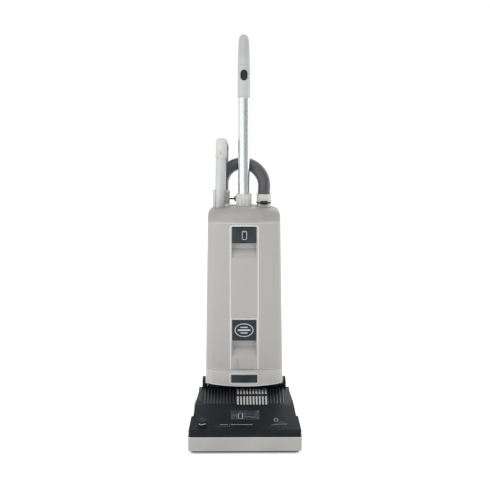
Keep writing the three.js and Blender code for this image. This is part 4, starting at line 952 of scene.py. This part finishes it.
@dataclass
class FaceLines:
    """The ridges that frame the door's middle channel, the window and the body's edges, in a pale colour
    that paints the highlight along them.
    """

    side: float = 42.0
    top: float = 636.5
    seam: float = 193.8
    hem: float = 142.0
    hem_rise: float = 7.0
    corner: float = 6.0
    plate_side: float = 39.6
    half_low: float = 118.5

    @staticmethod
    def ridge(skin: Skin, spots: Spots, title: str, body: str, wide: float = 2.6, tall: float = 1.5,
              closed: bool = False) -> None:
        """Makes one ridge laid on a face."""
        stock = Stock()
        path = skin.front(stepped(spots, closed=closed), proud=0.0)
        stock.sweep(path, wide, tall, facing=OUT_FRONT, closed=closed)
        # pale colour: painted highlight along the ridge
        stock.settle(title, RIDGE_PAINTED_HIGHLIGHT, body, sharp=70)

    def build(self) -> None:
        """Makes every ridge."""
        door = Skin("bag_door", "top_latch", "lower_latch")
        panel = Skin("lower_panel", "panel_window")
        low = self.seam + 1.5
        arch = [(x, self.top + 1.2 * (1 - (x / 36.0) ** 2)) for x in range(36, -37, -6)]
        turn_x, turn_z = self.side - self.corner, self.top - self.corner
        right = [(self.side, low), (self.side, turn_z)]
        right += arc(turn_x, turn_z, self.corner, self.corner, 0.0, 90.0, 4)[1:-1]
        left = arc(-turn_x, turn_z, self.corner, self.corner, 90.0, 180.0, 4)[1:]
        self.ridge(door, [*right, *arch, *left, (-self.side, low)], "channel_ridge", "door", wide=3.2)
        edge = self.plate_side
        self.ridge(door, [(-edge, 353.0), (edge, 353.0)], "lower_frame_ridge", "door", wide=2.0, tall=1.2)
        for word, x in (("left", -edge), ("right", edge)):
            self.ridge(door, [(x, 285.2), (x, 351.5)], f"plate_edge_{word}", "door", wide=1.6, tall=1.0)
        # The shoulder is a crease; this pale line paints the highlight along it.
        self.ridge(door, [(-96.0, 645.0), (96.0, 645.0)], "shoulder_painted_highlight", "door", wide=1.3, tall=0.7)
        window = round_rect(-1.0, 166.5, 88.0, 34.0, 9.0, 4)
        self.ridge(panel, window, "window_ridge", "upright", wide=2.2, tall=1.2, closed=True)
        reach = self.half_low - 6.0
        across = [-reach + 2 * reach * k / 28 for k in range(29)]
        hem = [(x, self.hem + 1.5 + self.hem_rise * (x / self.half_low) ** 2) for x in across]
        self.ridge(panel, hem, "hem_ridge", "upright", wide=2.4, tall=1.2)
        above = [(x, self.seam + 1.6) for x in across if abs(x) < 106.0]
        self.ridge(door, above, "door_foot_ridge", "door", wide=1.4, tall=0.9)


@dataclass
class LatchMarks:
    """The outline on the upper latch and the plain oval badge on the lower one."""

    def build(self) -> None:
        """Makes both marks."""
        upper = Skin("top_latch")
        slot = Stock()
        outline = upper.front(stepped(round_rect(0.6, 608.6, 13.2, 25.4, 4.0), closed=True), proud=0.05)
        slot.sweep(outline, 1.5, 0.3, facing=OUT_FRONT, sides=6, closed=True)
        tick = upper.front(stepped([(-2.0, 619.0), (3.2, 619.0)]), proud=0.05)
        slot.sweep(tick, 1.2, 0.3, facing=OUT_FRONT, sides=6)
        slot.settle("bag_symbol", PRINT, "top_latch_lever", sharp=60)
        lower = Skin("lower_latch")
        badge = Stock()
        rim = lower.front(stepped(arc(-0.7, 318.4, 27.4, 19.6, 0.0, 352.0, 44), closed=True), proud=0.1)
        badge.sweep(rim, 2.4, 1.2, facing=OUT_FRONT, sides=8, closed=True)
        for z, half, wide in ((327.0, 11.0, 3.0), (318.4, 19.0, 4.6), (309.8, 11.0, 3.0)):
            bar = lower.front(stepped([(-0.7 - half, z), (-0.7 + half, z)], gap=5.0), proud=0.1)
            badge.sweep(bar, wide, 0.8, facing=OUT_FRONT, sides=8)
        badge.settle("plain_badge", BADGE, "lower_latch_lever", sharp=60)


@dataclass
class Bumper:
    """A pale bead along the bumper's upper edge, which paints the highlight there."""

    half: float = 165.8
    front: float = -180.0
    corner: float = 10.0
    top: float = 50.5
    inset: float = 0.8
    rear: float = -106.0

    def build(self) -> None:
        """Makes the edge's painted highlight."""
        side, nose = self.half - self.inset, self.front + self.inset
        right = [(side, self.rear)]
        right += arc(side - self.corner, nose + self.corner, self.corner, self.corner, 0.0, -90.0, 5)
        outline = right + [(-x, y) for x, y in reversed(right)]
        stock = Stock()
        path = [at(x, y, self.top - 0.7) for x, y in stepped(outline, gap=40.0)]
        stock.sweep(path, 2.0, 1.7, facing=UP)
        # pale bead: painted highlight along the bumper's top edge
        stock.settle("bumper_edge_painted_highlight", RIDGE_PAINTED_HIGHLIGHT, "power_head", sharp=70)


@dataclass
class Wheels:
    """Grooved tyres and the hubs' webs."""

    y: float = 104.0
    radius: float = 32.0
    inner: float = 26.35
    left: float = 121.2
    width: float = 15.0

    def tyre(self, side: int, word: str) -> None:
        """Makes one grooved tyre in the place of its plain one."""
        half, r = self.width / 2, self.radius
        profile = [(self.inner, -half), (r - 2.4, -half), (r - 0.7, -half + 0.9), (r, -half + 2.2)]
        for groove in (-3.2, 0.0, 3.2):
            profile += [(r, groove - 0.7), (r - 1.1, groove - 0.4)]
            profile += [(r - 1.1, groove + 0.4), (r, groove + 0.7)]
        profile += [(r, half - 2.2), (r - 0.7, half - 0.9), (r - 2.4, half), (self.inner, half)]
        stock = Stock()
        middle = side * (self.left + half)
        stock.turn(profile, Axis.RIGHT.matrix(middle, self.y, r), steps=72, closed=True)
        stock.settle(f"tyre_{word}", RUBBER, f"rear_wheel_{word[0]}", sharp=32,
                     stands_for=[f"rear_tyre_{word}"])

    def spokes(self, side: int, word: str) -> None:
        """Adds five webs in the dish of a wheel."""
        stock = Stock()
        face = side * (self.left + self.width - 2.4)
        middle = Axis.RIGHT.matrix(face, self.y, self.radius)
        for k in range(5):
            turn = Matrix.Rotation(math.tau * k / 5, 4, "Z")
            stock.block((3.0, 9.6, 2.6), middle @ turn @ Matrix.Translation((0.0, 13.2 * MM, 0.0)))
        stock.settle(f"wheel_webs_{word}", SLATE, f"rear_wheel_{word[0]}",
                     sharp=50)

    def build(self) -> None:
        """Makes both wheels' parts."""
        for side, word in ((-1, "left"), (1, "right")):
            self.tyre(side, word)
            self.spokes(side, word)


@dataclass
class BrushTufts:
    """The brush roller's nylon tufts in four helical rows."""

    y: float = -130.0
    z: float = 34.0
    root: float = 20.5
    tip: float = 31.0
    left: float = -120.0
    right: float = 123.0
    rows: int = 4
    tufts: int = 38
    turns: float = 0.75
    strands: int = 5

    def build(self) -> None:
        """Makes the tufts and the sleeve they stand in."""
        rng = random.Random(41)
        stock = Stock()
        span = self.right - self.left
        length = self.tip - self.root
        for row in range(self.rows):
            for number in range(self.tufts):
                share = (number + 0.5) / self.tufts
                turn = row * math.tau / self.rows + share * self.turns * math.tau
                stand = Axis.RIGHT.matrix(self.left + span * share, self.y, self.z)
                out = stand @ Matrix.Rotation(turn, 4, "Z") @ Matrix.Rotation(math.radians(90), 4, "Y")
                for strand in range(self.strands):
                    lean = Matrix.Rotation(rng.uniform(-0.09, 0.09), 4, "X")
                    tilt = Matrix.Rotation(rng.uniform(-0.09, 0.09), 4, "Y")
                    angle = math.tau * strand / self.strands
                    foot = Vector((1.2 * math.cos(angle), 1.2 * math.sin(angle), self.root)) * MM
                    tall = length - rng.uniform(0.1, 0.6)
                    taper = [(0.75, 0.0), (0.7, tall * 0.8), (0.35, tall)]
                    stock.turn([*taper, (0.0, tall)], out @ Matrix.Translation(foot) @ lean @ tilt, steps=5)
        sleeve = [(20.35, self.left - 2), (21.6, self.left - 2), (21.6, self.right + 2),
                  (20.35, self.right + 2)]
        stock.turn(sleeve, Axis.RIGHT.matrix(0.0, self.y, self.z), steps=40, closed=True)
        stock.settle("nylon_tufts", TUFT, "brush", sharp=50, stands_for=["brush_bristles"])


@dataclass
class WandFittings:
    """The rims of the wand's grip and the ribs of the handle's socket and the hose clip."""

    wand_x: float = -71.2
    wand_y: float = 136.0
    wand_z: float = 760.0

    def along(self) -> Matrix:
        """Gives the place of the wand's own axis at its reference height."""
        place = Matrix.Translation(at(self.wand_x, self.wand_y, self.wand_z))
        return place @ Matrix.Rotation(WAND_LEAN, 4, "Y")

    def build(self) -> None:
        """Makes the rims, the painted shade on the holder's right cheek, the small catch, the socket's ribs
        and the clip's hatching.
        """
        rims = Stock()
        for height, r in ((74.6, 17.2), (119.0, 17.5)):
            place = self.along() @ Matrix.Translation((0.0, 0.0, height * MM))
            rims.turn([(r - 0.6, -0.8), (r + 0.7, -0.5), (r + 0.8, 0.5), (r - 0.6, 0.8)], place, closed=True)
        arch = [(17.6 * math.sin(a), -17.6 * math.cos(a), 78.0 + 7.0 * math.cos(a * 2.2))
                for a in (math.radians(t) for t in range(-80, 81, 8))]
        path = [self.along() @ (Vector(spot) * MM) for spot in arch]
        rims.sweep(path, 1.4, 1.4, sides=8)
        rims.settle("grip_rims", GRIP, "wand", sharp=60)
        # A thin darker plate over the holder's right cheek: painted shade.
        side = Stock()
        side.block((19.0, 1.0, 38.0), Matrix.Translation(at(-53.4, 127.8, 711.0)), soft=0.3)
        side.settle("holder_painted_shade", HOLDER_PAINTED_SHADE, "upright", sharp=50)
        catch = Stock()
        place = self.along() @ Matrix.Translation(Vector((-2.5, -17.1, 87.0)) * MM)
        catch.block((5.0, 2.4, 8.0), place, soft=0.9, segments=3)
        catch.settle("grip_catch", GRIP, "wand", sharp=50)
        socket = Stock()
        socket.ribs_round(22.9, 690.0, 718.5, 30, 1.9, Axis.UP.matrix(0.0, 132.0, 0.0))
        socket.settle("socket_ribs", PALE, "upright", sharp=60)
        hatch = Stock()
        for k in range(7):
            ends = [at(52.8 + 2.7 * k, 109.0, z) for z in (692.6, 701.0)]
            hatch.sweep(ends, 1.2, 1.0, sides=6)
        hatch.settle("clip_hatching", SLATE, "upright", sharp=60)


@dataclass
class FilterBag:
    """The fleece filter bag: blown up a little, creased, and welded round its edge."""

    node: str = "filter_bag"
    voxel: float = 5.0
    slack: float = 0.97
    cap: float = 5.0
    pressure: float = 4.0
    frames: int = 20
    crease: float = 0.9
    middle: tuple[float, float, float] = (0.0, 78.0, 500.0)
    half_height: float = 155.0
    reach: float = 0.6
    sunk: float = 0.6
    seam_points: int = 60

    def start_shape(self) -> bpy.types.Object:
        """Gives the bag's space, drawn in a little and remeshed evenly."""
        stock = Stock()
        stock.bm.from_mesh(frame["nodes"][self.node].data)
        bmesh.ops.remove_doubles(stock.bm, verts=stock.bm.verts, dist=2e-6)
        middle = sum((vert.co for vert in stock.bm.verts), Vector()) / len(stock.bm.verts)
        for vert in stock.bm.verts:
            vert.co = middle + (vert.co - middle) * self.slack
        piece = stock.piece("fleece_bag")
        even = piece.modifiers.new("even", "REMESH")
        even.mode = "VOXEL"
        even.voxel_size = self.voxel * MM
        self.apply(piece)
        return piece

    @staticmethod
    def apply(piece: bpy.types.Object) -> None:
        """Applies a piece's modifiers to its mesh."""
        graph = bpy.context.evaluated_depsgraph_get()
        made = bpy.data.meshes.new_from_object(piece.evaluated_get(graph))
        old = piece.data
        piece.modifiers.clear()
        piece.data = made
        bpy.data.meshes.remove(old)

    def swell(self, piece: bpy.types.Object) -> None:
        """Blows the bag up with a cloth simulation, and caps how far each point moves."""
        rest = [vert.co.copy() for vert in piece.data.vertices]
        cloth = piece.modifiers.new("swell", "CLOTH")
        cloth.settings.use_pressure = True
        cloth.settings.uniform_pressure_force = self.pressure
        cloth.settings.effector_weights.gravity = 0.0
        cloth.point_cache.frame_end = self.frames
        for number in range(1, self.frames + 1):
            bpy.context.scene.frame_set(number)
        self.apply(piece)
        bpy.context.scene.frame_set(1)
        for vert, start in zip(piece.data.vertices, rest):
            move = vert.co - start
            vert.co = start + move * min(1.0, self.cap * MM / max(move.length, 1e-9))

    def crumple(self, piece: bpy.types.Object) -> None:
        """Presses soft creases into the bag, deeper towards its ends."""
        for vert in piece.data.vertices:
            high = (vert.co.z / MM - self.middle[2]) / self.half_height
            wide = vert.co.x / MM
            fold = math.sin(wide * 0.19 + 2.1 * math.sin(high * 3.0)) * math.sin(high * 4.2 + wide * 0.03)
            vert.co -= vert.normal * self.crease * MM * (0.4 + abs(high)) * (1.0 + fold)

    def seam(self, piece: bpy.types.Object) -> None:
        """Welds a flat seam round the bag, where its two panels meet."""
        skin = bmesh.new()
        skin.from_mesh(piece.data)
        tree = BVHTree.FromBMesh(skin)
        skin.free()
        middle = at(*self.middle)
        path = []
        for k in range(self.seam_points):
            angle = math.tau * k / self.seam_points
            out = Vector((0.55 * math.cos(angle), 0.0, math.sin(angle))).normalized()
            place = tree.ray_cast(middle + out * self.reach, -out)[0]
            if place is not None:
                path.append(place - out * self.sunk * MM)
        stock = Stock()
        stock.sweep(path, 2.6, 1.8, facing=OUT_FRONT, sides=8, closed=True)
        stock.settle("bag_seam", WELD, BODY_OF_NODE[self.node], sharp=60)

    def build(self) -> None:
        """Makes the bag and its seam."""
        piece = self.start_shape()
        self.swell(piece)
        self.crumple(piece)
        smooth = piece.modifiers.new("smooth", "SUBSURF")
        smooth.levels = smooth.render_levels = 1
        dress(piece, FLEECE, BODY_OF_NODE[self.node], sharp=180,
              stands_for=[self.node])
        self.seam(piece)


@dataclass
class Pleats:
    """A pleated filter in the place of a plain block; its folds run upright."""

    node: str
    x: tuple[float, float]
    y: tuple[float, float]
    z: tuple[float, float]
    folds: int

    def build(self) -> None:
        """Makes the pleats between two frame strips."""
        stock = Stock()
        made = bmesh.new()
        (x0, x1), (y0, y1), (z0, z1) = self.x, self.y, self.z
        step = (x1 - x0 - 6.0) / (2 * self.folds)
        front = [(x0 + 3.0 + step * k, y0 + (0.6 if k % 2 else 4.6)) for k in range(2 * self.folds + 1)]
        outline = [(x0, y0 + 0.2), *front, (x1, y0 + 0.2), (x1, y1), (x0, y1)]
        face = made.faces.new([made.verts.new(at(x, y, z0)) for x, y in outline])
        risen = bmesh.ops.extrude_face_region(made, geom=[face])["geom"]
        lifted = [item for item in risen if isinstance(item, bmesh.types.BMVert)]
        bmesh.ops.translate(made, vec=UP * (z1 - z0) * MM, verts=lifted)
        bmesh.ops.recalc_face_normals(made, faces=made.faces)
        stock.take(made)
        stock.settle(f"{self.node}_pleats", FILTER, BODY_OF_NODE[self.node],
                     sharp=25, stands_for=[self.node])


@dataclass
class Fasteners:
    """Screw heads on the back cover, the lower hook's plate and the sole plate."""

    back: float = 160.2
    side: float = 82.0
    heights: tuple[float, float, float] = (222.0, 424.0, 626.0)

    def build(self) -> None:
        """Makes the screws."""
        rear = Stock()
        foot, waist, head = self.heights
        for x in (-self.side, 0.0, self.side):
            for z in (foot, head):
                screw_head(rear, Axis.BACK.matrix(x, self.back, z))
        for x in (-self.side, self.side):
            screw_head(rear, Axis.BACK.matrix(x, self.back, waist))
        for z in (240.0, 282.0):
            screw_head(rear, Axis.BACK.matrix(62.0, self.back + 3.3, z), radius=2.2)
        rear.settle("back_screws", STEEL, "upright", sharp=40)
        sole = Stock()
        for x, y in ((-120.0, -30.0), (120.0, -30.0), (-120.0, 40.0), (120.0, 40.0), (0.0, 45.0)):
            screw_head(sole, Axis.DOWN.matrix(x, y, 3.1), radius=3.2)
        sole.settle("sole_screws", STEEL, "power_head", sharp=40)


@dataclass
class BackLouvres:
    """The exhaust louvres low on the back cover."""

    slats: int = 9
    first: float = 236.0
    pitch: float = 7.5
    left: float = -74.0
    right: float = -8.0
    y: float = 160.1

    def build(self) -> None:
        """Makes a row of slats with dark grooves between them."""
        slats = Stock()
        for k in range(self.slats):
            ends = [at(x, self.y, self.first + self.pitch * k) for x in (self.left, self.right)]
            slats.sweep(ends, 3.0, 3.4, facing=OUT_BACK, sides=8)
        slats.settle("back_louvres", SHELL, "upright", sharp=60)
        grooves = Stock()
        for k in range(self.slats - 1):
            z = self.first + self.pitch * (k + 0.5)
            ends = [at(x, self.y + 0.05, z) for x in (self.left + 1.0, self.right - 1.0)]
            grooves.sweep(ends, 2.0, 0.5, facing=OUT_BACK, sides=6)
        grooves.settle("back_grille", TRIM, "upright", sharp=60)


@dataclass
class GripFittings:
    """The ring under the handle grip, the switch's surround and its thumb ribs."""

    foot: tuple[float, float, float] = (0.0, 132.0, 1015.0)
    switch_z: float = 1081.75
    rib_heights: tuple[float, ...] = (1074.0, 1078.0, 1086.0, 1090.0)
    rib_half: float = 5.4

    def build(self) -> None:
        """Makes the ring, the surround and the switch's thumb ribs."""
        ring = Stock()
        profile = [(18.2, -1.4), (19.3, -1.1), (19.5, 0.9), (18.3, 1.2)]
        ring.turn(profile, Axis.UP.matrix(*self.foot), closed=True)
        ring.settle("grip_ring", GRIP, "upright", sharp=50)
        skin = Skin("grip_lower")
        stadium = round_rect(0.0, self.switch_z, 23.4, 33.9, 11.6, 8)
        surround = Stock()
        surround.sweep(skin.front(stepped(stadium, closed=True)), 1.3, 1.0, facing=OUT_FRONT, closed=True)
        surround.settle("switch_surround", GRIP, "upright", sharp=70)
        thumb = Stock()
        face = Skin("switch_button")
        for z in self.rib_heights:
            ends = face.front([(-self.rib_half, z), (self.rib_half, z)])
            thumb.sweep(ends, 1.4, 0.8, facing=OUT_FRONT)
        thumb.settle("switch_ribs", SLATE, "power_switch", sharp=60)


def main() -> None:
    """Builds the machine in order and reports each piece."""
    logging.basicConfig(level=logging.INFO, format="%(name)s %(message)s")
    Studio().build()
    StretchHose().build()
    parts = [
        CoverRibs(), CoverPrint(), Dial(), Bumper(), Wheels(), BrushTufts(), FaceLines(), LatchMarks(),
        WandFittings(), GripFittings(), BackLouvres(), Fasteners(), FilterBag(),
        Pleats("pre_motor_filter", (-38.0, 76.0), (72.0, 128.0), (319.5, 328.5), 19),
        Pleats("exhaust_filter", (-92.0, 92.0), (56.0, 92.0), (150.0, 188.0), 30),
    ]
    for part in parts:
        part.build()
    for node in SLOT_OF_NODE:
        if node not in DETAILED:
            softened(node)


if __name__ == "__main__":
    main()
